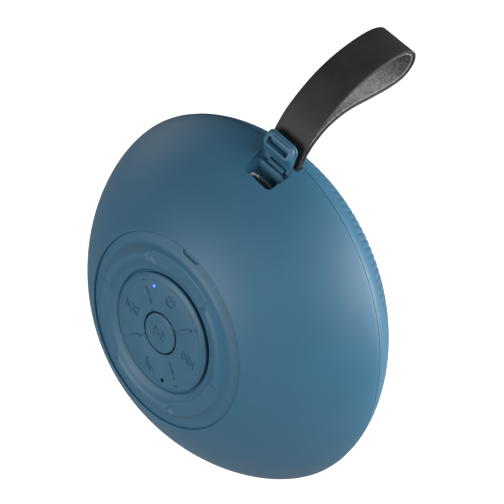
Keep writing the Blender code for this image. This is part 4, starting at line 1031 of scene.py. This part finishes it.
mesh_cloth = Finish("acoustic mesh", Roughness=0.9, Sheen_Weight=0.2)
warp = mesh_cloth.node("ShaderNodeTexWave", {"bands_direction": 'X'},
                       {"Vector": mesh_cloth.place, "Scale": 500.0})
weft = mesh_cloth.node("ShaderNodeTexWave", {"bands_direction": 'Z'},
                       {"Vector": mesh_cloth.place, "Scale": 500.0})
mesh_cloth.feed(Base_Color=mesh_cloth.mixed(warp * weft, (0.004, 0.004, 0.005, 1),
                                            (0.030, 0.030, 0.033, 1)))
mesh_cloth.bump((warp * weft, 0.1 * MM, 0.5))

wire_red = Finish("red wire sleeve", Roughness=0.45)
sleeve = wire_red.noise(1.5 * MM, 2.0)
wire_red.feed(Base_Color=wire_red.mixed(sleeve, (0.30, 0.012, 0.010, 1), (0.42, 0.020, 0.016, 1)))

# %% The socket's bright mouth
bright_steel = Finish("bright pressed steel", Base_Color=(0.78, 0.77, 0.75, 1), Metallic=1.0)
bright_steel.feed(Roughness=0.30 + bright_steel.noise(0.4 * MM) * 0.15)
paint(socket_shell, bright_steel)
stands_for(socket_shell, "casing", "steel", "usb_shell")
# the black block inside the socket is painted shade in black plastic, standing in for the socket's
# dark depth
paint(socket_shade_core, black_plastic)
stands_for(socket_shade_core, "casing", "black_plastic", "usb_tongue")
paint(socket_tongue, black_plastic)
stands_for(socket_tongue, "casing", "black_plastic")

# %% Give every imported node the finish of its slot
slot_finish = {"steel": steel, "black_plastic": black_plastic, "circuit_board": board,
               "cell_foil": foil, "foam": foam, "copper": copper, "ferrite": ferrite,
               "paper_cone": paper, "acoustic_cloth": mesh_cloth, "red_wire": wire_red,
               "blue_casing": casing_blue, "blue_silicone": silicone_blue,
               "black_leather": leather, "blue_lamp": lamp_blue}
for part in frame["record"]["subparts"]:
    paint(frame["nodes"][part["node"]], slot_finish[part["material_slot"]])
print("finishes:", len(slot_finish))

# %% [markdown]
# ## Floor, light and camera
# The speaker hangs in the air, so the floor is well below it. A broad light from the right
# models the bowl, a weaker one from the left lights the panel, and a small one behind picks
# out the upper edge. Large areas keep the edges of shadows soft.

# %% Camera
CAMERA_AT = Vector((-0.21195, 0.29593, 0.33164))
LOOK_AT = Vector((-0.00197, -0.02563, 0.02125))
ROLL = math.radians(20.46)
back = (CAMERA_AT - LOOK_AT).normalized()
level_right = Vector((0, 0, 1)).cross(back).normalized()
level_up = back.cross(level_right)
right = level_right * math.cos(ROLL) + level_up * math.sin(ROLL)
up = back.cross(right)
lens_data = bpy.data.cameras.new("camera")
lens_data.lens = 129.5
lens_data.sensor_width = 36.0
lens_data.clip_start = 0.01
camera = bpy.data.objects.new("camera", lens_data)
bpy.context.scene.collection.objects.link(camera)
facing = Matrix((right, up, back)).transposed().to_4x4()
camera.matrix_world = Matrix.Translation(CAMERA_AT) @ facing
bpy.context.scene.camera = camera


# %% Lights placed from where the camera stands
def lamp(name, sideways, upwards, towards, size, power):
    """A square area light at a place counted along the camera's own axes, facing the speaker."""
    data = bpy.data.lights.new(name, 'AREA')
    data.size = size
    data.energy = power
    made = bpy.data.objects.new(name, data)
    bpy.context.scene.collection.objects.link(made)
    centre = Vector((0, -0.025, 0))
    made.location = centre + right * sideways + up * upwards + back * towards
    made.rotation_euler = (made.location - centre).to_track_quat('Z', 'Y').to_euler()


lamp("key light", 0.87, 0.10, 0.10, 0.6, 11.0)
lamp("right front light", 0.60, 0.0, 0.66, 0.6, 7.0)
lamp("left light", -0.72, -0.16, 0.48, 0.5, 7.0)
lamp("upper left rim light", -0.52, 0.62, -0.38, 0.5, 1.0)


def seen_or_lit(tree, seen, lit):
    """A strength: one value where the camera sees the surface, another for the light it sheds.

    A white sweep fills a small part of the view but surrounds the speaker, so left alone it
    would light the speaker from below far more than the room does.
    """
    direct = add_node(tree, "ShaderNodeLightPath")
    return direct * (seen - lit) + lit


room = bpy.data.worlds.new("pale room")
room.use_nodes = True
air = room.node_tree.nodes["Background"]
air.inputs["Color"].default_value = (1.0, 1.0, 1.0, 1.0)
room.node_tree.links.new(seen_or_lit(room.node_tree, 1.0, 0.06).socket, air.inputs["Strength"])
bpy.context.scene.world = room
bpy.context.scene.view_settings.view_transform = 'Standard'

# %% Floor
floor_mesh = bpy.data.meshes.new("floor")
reach = 6.0
floor_level = -0.16
floor_mesh.from_pydata([(-reach, -reach, floor_level), (reach, -reach, floor_level),
                        (reach, reach, floor_level), (-reach, reach, floor_level)],
                       [], [(0, 1, 2, 3)])
floor = bpy.data.objects.new("floor", floor_mesh)
bpy.context.scene.collection.objects.link(floor)
floor_white = Finish("pale floor", Roughness=0.9, Emission_Color=(1, 1, 1, 1))
floor_white.feed(Base_Color=floor_white.mixed(floor_white.noise(0.2), (0.30, 0.30, 0.30, 1),
                                              (0.33, 0.33, 0.33, 1)))
floor_white.tree.links.new(seen_or_lit(floor_white.tree, 0.95, 0.0).socket,
                           floor_white.shader.inputs["Emission Strength"])
paint(floor, floor_white)
